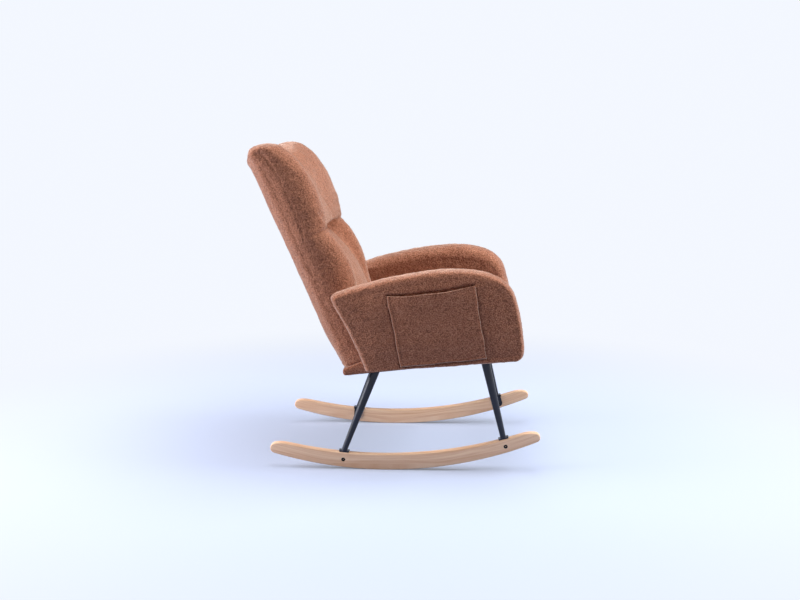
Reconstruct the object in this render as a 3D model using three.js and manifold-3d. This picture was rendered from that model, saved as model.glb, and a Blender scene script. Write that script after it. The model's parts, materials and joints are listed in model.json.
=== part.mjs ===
// Rocking armchair on two bow rockers: tapered steel legs, a sprung and upholstered seat,
// padded arms with side pockets, and a raked wing back in two lobes over a timber frame.
// Millimetres, +Z up. The chair faces -Y, so the sitter's right hand is at -X.
import * as THREE from 'three';
import { mergeVertices } from 'three/addons/utils/BufferGeometryUtils.js';
import Module from 'manifold-3d';

const wasm = await Module();
wasm.setup();

// Stance of the whole chair
const seatWidth = 504;
const seatRearHeight = 322;
const seatRearSetback = 32;
const seatTilt = THREE.MathUtils.degToRad(6.5);
const backRake = THREE.MathUtils.degToRad(17);
const backFootSetback = 102;
const backFootRise = 20;

// Clearances and overruns
const touch = 0.3;
const softGap = 2.5;
const overrun = 30;

// Bow rockers
const rockerInset = 12;
const rockerThickness = 22;
const rockerHeight = 48;
const rockerFloorRadius = 1200;
const rockerTopRadius = 1340;
const rockerTopSetback = 8;
const rockerFrontRunout = 110;
const rockerRearRunout = 226;
const rockerRearTipRadius = 16;
const rockerFrontTipRadius = 14.5;
const rockerTipTurn = THREE.MathUtils.degToRad(14);
const rockerTipLength = 74;
const rockerEdgeRound = 3.2;
const rockerFacet = 26;

// Steel legs, their top plates and their foot brackets
const legTopDiameter = 27;
const legFootDiameter = 17;
const legWall = 1.6;
const legTopInset = 45;
const rearLegPlace = -6;
const frontLegInset = 104;
const rearFootRake = 125;
const frontFootRake = 27;
const legPlateLength = 74;
const legPlateWidth = 50;
const legPlateThickness = 3;
const legPlateCorner = 8;
const plateScrewDiameter = 5;
const plateScrewLength = 20;
const plateScrewHead = 9.5;
const plateScrewHeadHeight = 2.2;
const plateScrewInset = 10;
const bracketThickness = 3.6;
const bracketFlangeLength = 31;
const bracketFlangeWidth = 24;
const bracketTabWidth = 27;
const bracketTabDrop = 36;
const boltDrop = 23;
const boltDiameter = 6;
const boltHeadDiameter = 12;
const boltHeadHeight = 3.6;
const boltSocket = 4;
const boltSocketDepth = 2.2;
const boltRunout = 5;
const nutBarrelDiameter = 9;
const nutLength = 14;
const nutHeadDiameter = 12;
const nutHeadHeight = 1.4;
const nutRecess = 0.8;
const boltClearance = 0.4;

// Seat frame
const frameDrop = 18;
const railHeight = 45;
const railThickness = 22;
const seatFrontReach = 442;
const seatRearReach = 82;
const springRailPlace = -42;
const springRailThickness = 22;
const rearRailHeight = 17;
const rearRailThickness = 16;
const legRailWidth = 68;
const legRailHeight = 25;
const borderThickness = 3.2;
const borderCorner = 7;
const dustCoverThickness = 1;

// Sinuous seat springs
const springCount = 4;
const springWire = 3.6;
const springPitch = 104;
const springSwing = 21;
const springWaves = 5;
const springRise = 12;
const springTopDrop = 1;
const springClipLength = 9;
const springClipWidth = 22;
const springClipHeight = 9;

// Seat cushion
const cushionHeight = 76;
const cushionFrontSwell = 7;
const cushionEdgeInset = 26;
const cushionCorner = 48;
const cushionBow = 5;

// Arms
const armThickness = 90;
const armHeight = 281;
const armOverhang = 9;
const armEdgeThickness = 36;
const armEdgeInset = 15;
const armBoardThickness = 15;
const armBoardCover = 12;
const armBoardInset = 34;
const armBoardFoot = 2;
const armBoltDiameter = 8;
const armBoltHead = 15;
const armBoltHeadHeight = 4;
const frontArmBoltInset = 62;
const rearArmBoltPlace = -75;
const armBoltHeight = 14;

// Side pockets
const pocketPanel = 2.6;
const pocketGape = 8;
const pocketWall = 5;
const pocketMouthHeight = 222;
const pocketMouthSag = 5;
const pocketHem = 14;
const pocketRearTop = -78;
const pocketFrontTopInset = 121;
const pocketRearFoot = -94;
const pocketFrontFootInset = 110;

// Back
const backInset = 5;
const backHeight = 684;
const backFootDrop = 26;
const creaseHeight = 379;
const creaseGap = 1.2;
const coverDepth = 22;
const coverSwell = 9;
const upperPadDepth = 126;
const lowerPadDepth = 124;
const crownDip = 28;
const stileWidth = 28;
const stileDepth = 44;
const stileFront = 62;
const stileFootDrop = 40;
const stileTop = 600;
const backRailHeight = 44;
const backRailDepth = 20;
const backRailFront = 50;
const backRailHeights = [4, 300, 556];
const strapWidth = 50;
const strapThickness = 2;
const strapLap = 9;
const strapHeights = [128, 216, 428];
const backBracketThickness = 4;
const backBracketWidth = 26;
const backBracketFoot = 62;
const backBracketRise = 44;
const backScrewDiameter = 5;
const backScrewHead = 9;
const backScrewHeadHeight = 2;
const backScrewLength = 15;
const backScrewPlaces = [18, 44];
const backScrewHeights = [2, 30];

// Widths and places that follow from the sizes above
const rockerGauge = seatWidth - 2 * rockerInset;
const legTopSpread = seatWidth / 2 - legTopInset;
const backWidth = seatWidth - 2 * backInset;
const frontLegPlace = frontLegInset - seatFrontReach;
const frontFootPlace = frontLegPlace - frontFootRake;
const rearFootPlace = rearLegPlace + rearFootRake;
const rockerFrontReach = rockerFrontRunout - frontFootPlace;
const rockerRearReach = rockerRearRunout + rearFootPlace;
const frontArmBoltPlace = frontArmBoltInset - seatFrontReach;
const armLength = seatFrontReach + armOverhang;
const pocketFrontTop = pocketFrontTopInset - armLength;
const pocketFrontFoot = pocketFrontFootInset - armLength;

// Smoothness of round forms
const roundSides = 16;
const smallSides = 8;
const screwSides = 6;
const mergeTolerance = 1e-4;

// Colours and finishes
const beech = new THREE.MeshStandardMaterial({ color: 0xd2ae8c, roughness: 0.55, metalness: 0 });
const softwood = new THREE.MeshStandardMaterial({ color: 0xc9a877, roughness: 0.8, metalness: 0 });
const blackSteel = new THREE.MeshStandardMaterial({ color: 0x15181f, roughness: 0.35, metalness: 0.6 });
const zincSteel = new THREE.MeshStandardMaterial({ color: 0xa9adb2, roughness: 0.4, metalness: 1 });
const springSteel = new THREE.MeshStandardMaterial({ color: 0x7b7f86, roughness: 0.4, metalness: 1 });
const teddy = new THREE.MeshStandardMaterial({ color: 0x9a6749, roughness: 0.95, metalness: 0 });
const webbing = new THREE.MeshStandardMaterial({ color: 0xe4e1da, roughness: 0.9, metalness: 0 });
const dustCloth = new THREE.MeshStandardMaterial({ color: 0x202022, roughness: 0.95, metalness: 0 });

// A closed geometry as a solid that can be joined and cut, and back again
function solidOf(geometry) {
  const bare = new THREE.BufferGeometry();
  bare.setAttribute('position', geometry.getAttribute('position').clone());
  if (geometry.index) bare.setIndex(geometry.index.clone());
  const merged = mergeVertices(bare, mergeTolerance);
  const vertProperties = new Float32Array(merged.getAttribute('position').array);
  const triVerts = new Uint32Array(merged.index.array);
  return new wasm.Manifold(new wasm.Mesh({ numProp: 3, vertProperties, triVerts }));
}

function geometryOf(solid) {
  const mesh = solid.getMesh();
  const geometry = new THREE.BufferGeometry();
  geometry.setAttribute('position', new THREE.BufferAttribute(mesh.vertProperties, 3));
  geometry.setIndex(new THREE.BufferAttribute(mesh.triVerts, 1));
  return geometry;
}

function cut(geometry, cutters) {
  let solid = solidOf(geometry);
  for (const cutter of cutters) solid = solid.subtract(solidOf(cutter));
  return geometryOf(solid);
}

function join(geometries) {
  let solid = solidOf(geometries[0]);
  for (const geometry of geometries.slice(1)) solid = solid.add(solidOf(geometry));
  return geometryOf(solid);
}

// Six times the volume inside a triangle list, negative when it faces inwards
function signedVolume(points, triangles) {
  const normal = new THREE.Vector3();
  return triangles.reduce((sum, [a, b, c]) => {
    normal.crossVectors(points[b], points[c]);
    return sum + points[a].dot(normal);
  }, 0);
}

// An end face over a ring's outline, as triangles in the ring's own order
function flatCap(ring) {
  const outline = ring.map((point) => new THREE.Vector2(point.x, point.y));
  const clockwise = THREE.ShapeUtils.isClockWise(outline);
  const triangles = THREE.ShapeUtils.triangulateShape(outline, []);
  return triangles.map(([a, b, c]) => (clockwise ? [a, c, b] : [a, b, c]));
}

// The same as a strip, for a ring that runs to -X up to its turn and then back to +X
function stripCap(turn) {
  return (ring) => {
    const triangles = [];
    let near = 0;
    let far = ring.length - 1;
    while (near < turn || far > turn + 1) {
      const alongNear = far === turn + 1 || (near < turn && ring[near + 1].x > ring[far - 1].x);
      if (alongNear) {
        triangles.push([near, near + 1, far]);
        near += 1;
      } else {
        triangles.push([near, far - 1, far]);
        far -= 1;
      }
    }
    return triangles;
  };
}

// A closed skin over rings of points, whose two ends are closed by the cap
function loft(rings, capOf) {
  const count = rings[0].length;
  const triangles = [];
  for (let r = 0; r + 1 < rings.length; r += 1) {
    for (let i = 0; i < count; i += 1) {
      const a = r * count + i;
      const b = r * count + ((i + 1) % count);
      triangles.push([a, b, b + count], [a, b + count, a + count]);
    }
  }
  const last = (rings.length - 1) * count;
  for (const [a, b, c] of capOf(rings[0])) triangles.push([a, c, b]);
  for (const [a, b, c] of capOf(rings[rings.length - 1])) triangles.push([last + a, last + b, last + c]);
  const points = rings.flat();
  const inward = signedVolume(points, triangles) < 0;
  const index = triangles.flatMap(([a, b, c]) => (inward ? [a, c, b] : [a, b, c]));
  const geometry = new THREE.BufferGeometry().setFromPoints(points);
  geometry.setIndex(index);
  return geometry;
}

// The same form on the other side of the chair's middle plane
function mirrored(geometry) {
  const copy = geometry.clone().scale(-1, 1, 1);
  if (!copy.index) {
    const order = Array.from({ length: copy.getAttribute('position').count }, (_, i) => i);
    copy.setIndex(order);
  }
  const index = Array.from(copy.index.array);
  for (let i = 0; i < index.length; i += 3) [index[i], index[i + 1]] = [index[i + 1], index[i]];
  copy.setIndex(index);
  return copy;
}

const onSide = (geometry, side) => (side < 0 ? mirrored(geometry) : geometry);

// A board or panel whose outline is drawn from the side, in Y and Z, and whose thickness is along X
function sidePanel(outline, fromX, toX, edge = {}) {
  const rim = edge.thickness ?? 0;
  const geometry = new THREE.ExtrudeGeometry(outline, {
    depth: toX - fromX - 2 * rim,
    bevelEnabled: rim > 0,
    bevelThickness: rim,
    bevelSize: edge.inset ?? 0,
    bevelOffset: -(edge.inset ?? 0),
    bevelSegments: edge.segments ?? 2,
    curveSegments: edge.curveSegments ?? 10,
  });
  const axes = [new THREE.Vector3(0, 1, 0), new THREE.Vector3(0, 0, 1), new THREE.Vector3(1, 0, 0)];
  return geometry.applyMatrix4(new THREE.Matrix4().makeBasis(...axes)).translate(fromX + rim, 0, 0);
}

function block(fromX, toX, fromY, toY, fromZ, toZ) {
  const geometry = new THREE.BoxGeometry(toX - fromX, toY - fromY, toZ - fromZ);
  return geometry.translate((fromX + toX) / 2, (fromY + toY) / 2, (fromZ + toZ) / 2);
}

// A rod along X, or along Z where upright
function rodX(fromX, toX, y, z, diameter, sides = smallSides) {
  const rod = new THREE.CylinderGeometry(diameter / 2, diameter / 2, toX - fromX, sides);
  return rod.rotateZ(-Math.PI / 2).translate((fromX + toX) / 2, y, z);
}

function rodZ(x, y, fromZ, toZ, diameter, sides = smallSides) {
  const rod = new THREE.CylinderGeometry(diameter / 2, diameter / 2, toZ - fromZ, sides);
  return rod.rotateX(Math.PI / 2).translate(x, y, (fromZ + toZ) / 2);
}

// Diameter of a faceted hole that clears a round piece all the way round
function roomFor(diameter, clearance = touch, sides = smallSides) {
  return (diameter + 2 * clearance) / Math.cos(Math.PI / sides);
}

function named(name, geometry, material) {
  const mesh = new THREE.Mesh(geometry, material);
  mesh.name = name;
  return mesh;
}

const sides = [['left', 1], ['right', -1]];
const lerp = THREE.MathUtils.lerp;

// Rockers: the underside is an arc cut in equal facets, with one facet level on the floor
function rockerArcPoint(angle) {
  const y = rockerFloorRadius * Math.sin(angle);
  return new THREE.Vector2(y, rockerFloorRadius * (1 - Math.cos(angle)));
}

function rockerTopAt(y) {
  const across = y - rockerTopSetback;
  return rockerHeight + rockerTopRadius - Math.sqrt(rockerTopRadius ** 2 - across ** 2);
}

function rockerSlopeAt(y) {
  return Math.asin((y - rockerTopSetback) / rockerTopRadius);
}

// A rocker's round end at the rear (way 1) or the front (way -1), and the smooth curve between it and
// the top: `from` on the round end, two curve points, and the shoulder on the top
function rockerTip(way, reach, radius) {
  const arm = rockerFloorRadius - radius;
  const angle = way * Math.asin((reach - radius) / arm);
  const centre = new THREE.Vector2(arm * Math.sin(angle), rockerFloorRadius - arm * Math.cos(angle));
  const leave = Math.PI / 2 - way * rockerTipTurn;
  const ray = new THREE.Vector2(Math.cos(leave), Math.sin(leave));
  const from = centre.clone().addScaledVector(ray, radius);
  const y = way * (reach - rockerTipLength);
  const shoulder = new THREE.Vector2(y, rockerTopAt(y));
  const pull = from.distanceTo(shoulder) / 3;
  const slope = rockerSlopeAt(y);
  const along = new THREE.Vector2(Math.cos(slope), Math.sin(slope));
  const near = from.clone().addScaledVector(new THREE.Vector2(-ray.y, ray.x), way * pull);
  const far = shoulder.clone().addScaledVector(along, way * pull);
  return { angle, centre, radius, leave, from, near, far, shoulder };
}

function rockerOutline() {
  const rear = rockerTip(1, rockerRearReach, rockerRearTipRadius);
  const front = rockerTip(-1, rockerFrontReach, rockerFrontTipRadius);
  const step = rockerFacet / rockerFloorRadius;
  const floor = [];
  for (let angle = -step / 2; angle > front.angle; angle -= step) floor.unshift(rockerArcPoint(angle));
  for (let angle = step / 2; angle < rear.angle; angle += step) floor.push(rockerArcPoint(angle));
  const outline = new THREE.Shape(floor);
  const start = rear.angle - Math.PI / 2;
  outline.absarc(rear.centre.x, rear.centre.y, rear.radius, start, rear.leave, false);
  outline.bezierCurveTo(rear.near.x, rear.near.y, rear.far.x, rear.far.y, rear.shoulder.x, rear.shoulder.y);
  const topSteps = Math.round((rear.shoulder.x - front.shoulder.x) / rockerFacet);
  for (let i = 1; i <= topSteps; i += 1) {
    const y = lerp(rear.shoulder.x, front.shoulder.x, i / topSteps);
    outline.lineTo(y, rockerTopAt(y));
  }
  outline.bezierCurveTo(front.far.x, front.far.y, front.near.x, front.near.y, front.from.x, front.from.y);
  const end = front.angle + 3 * Math.PI / 2;
  outline.absarc(front.centre.x, front.centre.y, front.radius, front.leave, end, false);
  return outline;
}

// The frame that a foot bracket sits in: on the rocker's top, sloping with it
function bracketFrame(side, place) {
  const slope = rockerSlopeAt(place);
  const sag = (bracketFlangeLength ** 2 + rockerFacet ** 2) / (8 * rockerTopRadius);
  const frame = new THREE.Group();
  frame.position.set(side * rockerGauge / 2, place, rockerTopAt(place) + (touch + sag) / Math.cos(slope));
  frame.rotation.x = slope;
  frame.updateMatrix();
  return frame;
}

const boltPlace = (place) => {
  const frame = bracketFrame(1, place);
  return new THREE.Vector3(0, 0, -boltDrop).applyMatrix4(frame.matrix);
};

function rockerGeometry() {
  const half = rockerThickness / 2;
  const edge = { thickness: rockerEdgeRound, inset: rockerEdgeRound, segments: 1, curveSegments: 4 };
  const body = sidePanel(rockerOutline(), -half, half, edge);
  const holes = [];
  for (const place of [rearFootPlace, frontFootPlace]) {
    const at = boltPlace(place);
    const nutStart = half - nutLength;
    holes.push(rodX(-half - overrun, half + overrun, at.y, at.z, roomFor(boltDiameter, boltClearance)));
    holes.push(rodX(nutStart - touch, half + overrun, at.y, at.z, roomFor(nutBarrelDiameter)));
    const headSeat = half - nutRecess - nutHeadHeight - touch;
    holes.push(rodX(headSeat, half + overrun, at.y, at.z, roomFor(nutHeadDiameter)));
  }
  return cut(body, holes);
}

// Foot bracket: a flange on the rocker and a round-ended tab down its inner face, bent from one strip
function bracketGeometry() {
  const half = rockerThickness / 2;
  const inner = -half - touch;
  const bend = new THREE.Shape();
  bend.moveTo(inner - bracketThickness, 0);
  bend.lineTo(inner, 0);
  bend.lineTo(bracketFlangeWidth - half - bracketThickness, 0);
  bend.lineTo(bracketFlangeWidth - half - bracketThickness, bracketThickness);
  bend.lineTo(inner, bracketThickness);
  bend.quadraticCurveTo(inner - bracketThickness, bracketThickness, inner - bracketThickness, 0);
  const along = { depth: bracketFlangeLength, bevelEnabled: false, curveSegments: 4 };
  const flange = new THREE.ExtrudeGeometry(bend, along);
  flange.rotateX(Math.PI / 2).translate(0, bracketFlangeLength / 2, 0);
  const tab = new THREE.Shape();
  const reach = bracketTabWidth / 2;
  tab.moveTo(-reach, bracketThickness / 2);
  tab.lineTo(-reach, reach - bracketTabDrop);
  tab.absarc(0, reach - bracketTabDrop, reach, Math.PI, 2 * Math.PI, false);
  tab.lineTo(reach, bracketThickness / 2);
  const plate = sidePanel(tab, inner - bracketThickness, inner, { curveSegments: 8 });
  const room = roomFor(boltDiameter, boltClearance);
  const hole = rodX(inner - bracketThickness - overrun, inner + overrun, 0, -boltDrop, room);
  return cut(join([flange, plate]), [hole]);
}

// Button-head bolt with a hex socket, pointing outwards along +X from the bracket's tab
function bracketBoltGeometry() {
  const seat = -rockerThickness / 2 - 2 * touch - bracketThickness;
  const end = rockerThickness / 2 - boltRunout;
  const profile = [
    [0, seat - boltHeadHeight],
    [boltHeadDiameter / 3, seat - boltHeadHeight],
    [boltHeadDiameter / 2, seat - boltHeadHeight / 3],
    [boltHeadDiameter / 2, seat],
    [boltDiameter / 2, seat],
    [boltDiameter / 2, end],
    [0, end],
  ].map(([radius, along]) => new THREE.Vector2(radius, along));
  const bolt = new THREE.LatheGeometry(profile, smallSides).rotateZ(-Math.PI / 2);
  const socketEnd = seat - boltHeadHeight + boltSocketDepth;
  const socket = rodX(socketEnd - overrun, socketEnd, 0, 0, boltSocket, screwSides);
  return cut(bolt, [socket]);
}

// Sleeve nut let into the rocker's outer face, with a bore for the bolt and a socket in its head
function sleeveNutGeometry() {
  const outer = rockerThickness / 2 - nutRecess;
  const start = rockerThickness / 2 - nutLength;
  const bore = roomFor(boltDiameter, boltClearance / 2) / 2;
  const profile = [
    [bore, start],
    [nutBarrelDiameter / 2, start],
    [nutBarrelDiameter / 2, outer - nutHeadHeight],
    [nutHeadDiameter / 2, outer - nutHeadHeight],
    [nutHeadDiameter / 2, outer],
    [bore, outer],
    [bore, start],
  ].map(([radius, along]) => new THREE.Vector2(radius, along));
  return new THREE.LatheGeometry(profile, smallSides).rotateZ(-Math.PI / 2);
}

// The seat's frame of reference stands at the arms' rear lower corner and tilts up to the front
function seatFrame() {
  const frame = new THREE.Group();
  frame.position.set(0, seatRearSetback, seatRearHeight);
  frame.rotation.x = -seatTilt;
  frame.updateMatrix();
  return frame;
}

const frameBottom = -frameDrop;
const dustBottom = frameBottom - touch - dustCoverThickness;
const plateTop = frameBottom - touch;
const plateBottom = plateTop - legPlateThickness;
const frameHalfWidth = seatWidth / 2 - 2 * touch - borderThickness;
const stileOuter = frameHalfWidth - railThickness - touch;
const stileInner = stileOuter - stileWidth;
const stileMiddle = (stileInner + stileOuter) / 2;

// Top plate of a leg with its four screws, drawn about the leg's place
function plateScrewPlaces() {
  const x = legPlateWidth / 2 - plateScrewInset;
  const y = legPlateLength / 2 - plateScrewInset;
  return [[x, y], [x, -y], [-x, y], [-x, -y]];
}

function legPlateGeometry() {
  const halfX = legPlateWidth / 2;
  const halfY = legPlateLength / 2;
  const c = legPlateCorner;
  const outline = new THREE.Shape();
  outline.absarc(halfX - c, halfY - c, c, 0, Math.PI / 2, false);
  outline.absarc(c - halfX, halfY - c, c, Math.PI / 2, Math.PI, false);
  outline.absarc(c - halfX, c - halfY, c, Math.PI, 3 * Math.PI / 2, false);
  outline.absarc(halfX - c, c - halfY, c, 3 * Math.PI / 2, 2 * Math.PI, false);
  const upwards = { depth: legPlateThickness, bevelEnabled: false, curveSegments: 3 };
  const plate = new THREE.ExtrudeGeometry(outline, upwards);
  plate.translate(0, 0, plateBottom);
  const middle = plateBottom + legPlateThickness / 2;
  const screws = plateScrewPlaces().flatMap(([x, y]) => [
    rodZ(x, y, plateBottom - plateScrewHeadHeight, middle, plateScrewHead),
    rodZ(x, y, middle, plateTop + plateScrewLength, plateScrewDiameter, screwSides),
  ]);
  return join([plate, ...screws]);
}

function plateScrewHoles(x, y, fromZ, toZ) {
  return plateScrewPlaces().map(([dx, dy]) => {
    return rodZ(x + dx, y + dy, fromZ, toZ, roomFor(plateScrewDiameter, touch, screwSides), screwSides);
  });
}

// Leg: a tapered tube from its top plate to its foot bracket, mitred to both
function addLeg(chair, side, sideName, endName, topPlace, footPlace) {
  const seat = seatFrame();
  const foot = bracketFrame(side, footPlace);
  const top = new THREE.Vector3(side * legTopSpread, topPlace, plateBottom).applyMatrix4(seat.matrix);
  const base = new THREE.Vector3(0, 0, bracketThickness).applyMatrix4(foot.matrix);
  const axis = top.clone().sub(base);
  const length = axis.length();
  const leg = new THREE.Mesh(undefined, blackSteel);
  leg.name = `leg_${endName}_${sideName}`;
  leg.position.copy(base);
  leg.quaternion.setFromUnitVectors(new THREE.Vector3(0, 1, 0), axis.normalize());
  leg.updateMatrix();
  const taper = (legTopDiameter - legFootDiameter) / 2 / length;
  const radiusAt = (along) => legFootDiameter / 2 + taper * along;
  const low = -legTopDiameter;
  const high = length + legTopDiameter;
  const profile = [
    [radiusAt(low) - legWall, low],
    [radiusAt(low), low],
    [radiusAt(high), high],
    [radiusAt(high) - legWall, high],
    [radiusAt(low) - legWall, low],
  ].map(([radius, along]) => new THREE.Vector2(radius, along));
  const tube = new THREE.LatheGeometry(profile, roundSides);
  const toLeg = leg.matrix.clone().invert();
  const reach = 2 * legTopDiameter;
  const above = block(-reach, reach, -reach, reach, plateBottom - touch, plateBottom + 2 * reach)
    .translate(side * legTopSpread, topPlace, 0)
    .applyMatrix4(seat.matrix)
    .applyMatrix4(toLeg);
  const below = block(-reach, reach, -reach, reach, -2 * reach, bracketThickness + touch)
    .applyMatrix4(foot.matrix)
    .applyMatrix4(toLeg);
  leg.geometry = cut(tube, [above, below]);
  chair.add(leg);
}

function addUndercarriage(chair) {
  const rocker = rockerGeometry();
  const bracket = bracketGeometry();
  const bolt = bracketBoltGeometry();
  const nut = sleeveNutGeometry();
  const legs = [['rear', rearLegPlace, rearFootPlace], ['front', frontLegPlace, frontFootPlace]];
  for (const [sideName, side] of sides) {
    const bow = named(`rocker_${sideName}`, onSide(rocker, side), beech);
    bow.position.x = side * rockerGauge / 2;
    chair.add(bow);
    for (const [endName, topPlace, footPlace] of legs) {
      const foot = bracketFrame(side, footPlace);
      foot.add(named(`rocker_bracket_${endName}_${sideName}`, onSide(bracket, side), blackSteel));
      const fixings = new THREE.Group();
      fixings.position.z = -boltDrop;
      fixings.add(named(`rocker_bolt_${endName}_${sideName}`, onSide(bolt, side), zincSteel));
      fixings.add(named(`sleeve_nut_${endName}_${sideName}`, onSide(nut, side), zincSteel));
      foot.add(fixings);
      chair.add(foot);
      addLeg(chair, side, sideName, endName, topPlace, footPlace);
    }
  }
}

// Seat frame
const frameTop = frameBottom + railHeight;
const armBoltPlaces = [frontArmBoltPlace, rearArmBoltPlace];
const armInnerX = seatWidth / 2;
const boardInnerX = armInnerX + armBoardCover;
const boardOuterX = boardInnerX + armBoardThickness;

// A place in the back's own frame, given by depth and height, as a place in the seat's frame
function backToSeat(depth, height) {
  const turned = new THREE.Vector3(0, depth, height).applyAxisAngle(new THREE.Vector3(1, 0, 0), -backRake);
  return turned.add(new THREE.Vector3(0, backFootSetback, backFootRise));
}

// The room of the back above its lower end, cleared out of the seat's parts
function backFootWedge() {
  const front = -coverDepth - upperPadDepth - overrun;
  const wedge = block(-seatWidth, seatWidth, front, backFootSetback, -backFootDrop - touch, backHeight);
  return wedge.rotateX(-backRake).translate(0, backFootSetback, backFootRise);
}

function armBoltHoles(fromX, toX, diameter = armBoltDiameter) {
  return armBoltPlaces.map((y) => rodX(fromX, toX, y, armBoltHeight, roomFor(diameter)));
}

function sideRailGeometry() {
  const outline = new THREE.Shape();
  outline.moveTo(-seatFrontReach, frameBottom);
  outline.lineTo(seatRearReach, frameBottom);
  outline.lineTo(seatRearReach, frameTop);
  outline.lineTo(-seatFrontReach, frameTop);
  const inner = frameHalfWidth - railThickness;
  const rail = sidePanel(outline, inner, frameHalfWidth);
  return cut(rail, [backFootWedge(), ...armBoltHoles(inner - overrun, frameHalfWidth + overrun)]);
}

function addSeatFrame(seat) {
  const innerX = frameHalfWidth - railThickness - touch;
  const rail = sideRailGeometry();
  for (const [sideName, side] of sides) {
    seat.add(named(`seat_side_rail_${sideName}`, onSide(rail, side), softwood));
  }
  const across = (fromY, toY, height) => {
    return block(-innerX, innerX, fromY, toY, frameBottom, frameBottom + height);
  };
  const front = across(-seatFrontReach, railThickness - seatFrontReach, railHeight);
  seat.add(named('seat_front_rail', front, softwood));
  const springRail = across(springRailPlace - springRailThickness, springRailPlace, railHeight);
  seat.add(named('seat_spring_rail', springRail, softwood));
  const rearInner = stileInner - touch;
  const rearFrom = seatRearReach - rearRailThickness;
  const rearTop = frameBottom + rearRailHeight;
  const rear = block(-rearInner, rearInner, rearFrom, seatRearReach, frameBottom, rearTop);
  seat.add(named('seat_rear_rail', cut(rear, [backFootWedge()]), softwood));
  const legRails = [['front', frontLegPlace - legRailWidth / 2], ['rear', springRailPlace + touch]];
  const screwEnd = plateTop + plateScrewLength + touch;
  for (const [endName, fromY] of legRails) {
    const place = endName === 'front' ? frontLegPlace : rearLegPlace;
    const beam = across(fromY, fromY + legRailWidth, legRailHeight);
    const holes = sides.flatMap(([, side]) => {
      return plateScrewHoles(side * legTopSpread, place, frameBottom - overrun, screwEnd);
    });
    if (endName === 'rear') holes.push(...backBracketFootHoles());
    seat.add(named(`leg_rail_${endName}`, cut(beam, holes), softwood));
  }
}

// Leg plates under the frame, and the dust cover that is cut out round them
function addSeatUnderside(seat) {
  const plate = legPlateGeometry();
  for (const [sideName, side] of sides) {
    for (const [endName, place] of [['rear', rearLegPlace], ['front', frontLegPlace]]) {
      const mesh = named(`leg_plate_${endName}_${sideName}`, plate, blackSteel);
      mesh.position.set(side * legTopSpread, place, 0);
      seat.add(mesh);
    }
  }
  const cover = block(
    -frameHalfWidth, frameHalfWidth, -seatFrontReach, seatRearReach,
    dustBottom, dustBottom + dustCoverThickness,
  );
  const halfX = legPlateWidth / 2 + touch;
  const halfY = legPlateLength / 2 + touch;
  const holes = sides.flatMap(([, side]) => [rearLegPlace, frontLegPlace].map((place) => {
    const hole = block(-halfX, halfX, -halfY, halfY, dustBottom - overrun, dustBottom + overrun);
    return hole.translate(side * legTopSpread, place, 0);
  }));
  seat.add(named('dust_cover', cut(cover, holes), dustCloth));
}

// The fabric band that wraps the seat frame, cut away under the back's lower end
function seatBorderGeometry() {
  const inner = { x: frameHalfWidth + touch, front: -seatFrontReach - touch, rear: seatRearReach + touch };
  const corner = borderCorner;
  const outline = new THREE.Shape();
  const outX = inner.x + borderThickness;
  const front = inner.front - borderThickness;
  const rear = inner.rear + borderThickness;
  outline.absarc(outX - corner, rear - corner, corner, 0, Math.PI / 2, false);
  outline.absarc(corner - outX, rear - corner, corner, Math.PI / 2, Math.PI, false);
  outline.absarc(corner - outX, front + corner, corner, Math.PI, 3 * Math.PI / 2, false);
  outline.absarc(outX - corner, front + corner, corner, 3 * Math.PI / 2, 2 * Math.PI, false);
  const hole = new THREE.Path();
  hole.moveTo(-inner.x, inner.front);
  hole.lineTo(inner.x, inner.front);
  hole.lineTo(inner.x, inner.rear);
  hole.lineTo(-inner.x, inner.rear);
  outline.holes.push(hole);
  const depth = frameTop - dustBottom;
  const band = new THREE.ExtrudeGeometry(outline, { depth, bevelEnabled: false, curveSegments: 3 });
  band.translate(0, 0, dustBottom);
  const holes = [...armBoltHoles(0, outX + overrun), ...armBoltHoles(-outX - overrun, 0)];
  return cut(band, [backFootWedge(), ...holes]);
}

// Sinuous spring: a wire that swings from side to side and arches from rail to rail, in two end clips
function springGeometry() {
  const from = railThickness - seatFrontReach + touch;
  const to = springRailPlace - springRailThickness - touch;
  const crown = frameTop - springTopDrop - springWire / 2;
  const wireFrom = from + springClipLength / 2;
  const wireTo = to - springClipLength / 2;
  const turnSteps = 4;
  const steps = 2 * springWaves * turnSteps;
  const heightAt = (share) => crown - springRise * (2 * share - 1) ** 2;
  const points = Array.from({ length: steps + 1 }, (_, i) => {
    const share = i / steps;
    const ends = Math.min(1, turnSteps * Math.min(share, 1 - share));
    const x = springSwing * ends * Math.sin(2 * Math.PI * springWaves * share);
    return new THREE.Vector3(x, lerp(wireFrom, wireTo, share), heightAt(share));
  });
  const path = new THREE.CatmullRomCurve3(points);
  const section = new THREE.Shape();
  section.absarc(0, 0, springWire / 2, 0, 2 * Math.PI, false);
  const swept = { steps, extrudePath: path, curveSegments: 3, bevelEnabled: false };
  const wire = new THREE.ExtrudeGeometry(section, swept);
  const low = heightAt(0) - springClipHeight / 2;
  const high = heightAt(0) + springClipHeight / 2;
  const half = springClipWidth / 2;
  const clips = [
    block(-half, half, from, from + springClipLength, low, high),
    block(-half, half, to - springClipLength, to, low, high),
  ];
  return join([wire, ...clips]);
}

function addSprings(seat) {
  const spring = springGeometry();
  for (let i = 0; i < springCount; i += 1) {
    const mesh = named(`seat_spring_${i + 1}`, spring, springSteel);
    mesh.position.x = (i - (springCount - 1) / 2) * springPitch;
    seat.add(mesh);
  }
}

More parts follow.
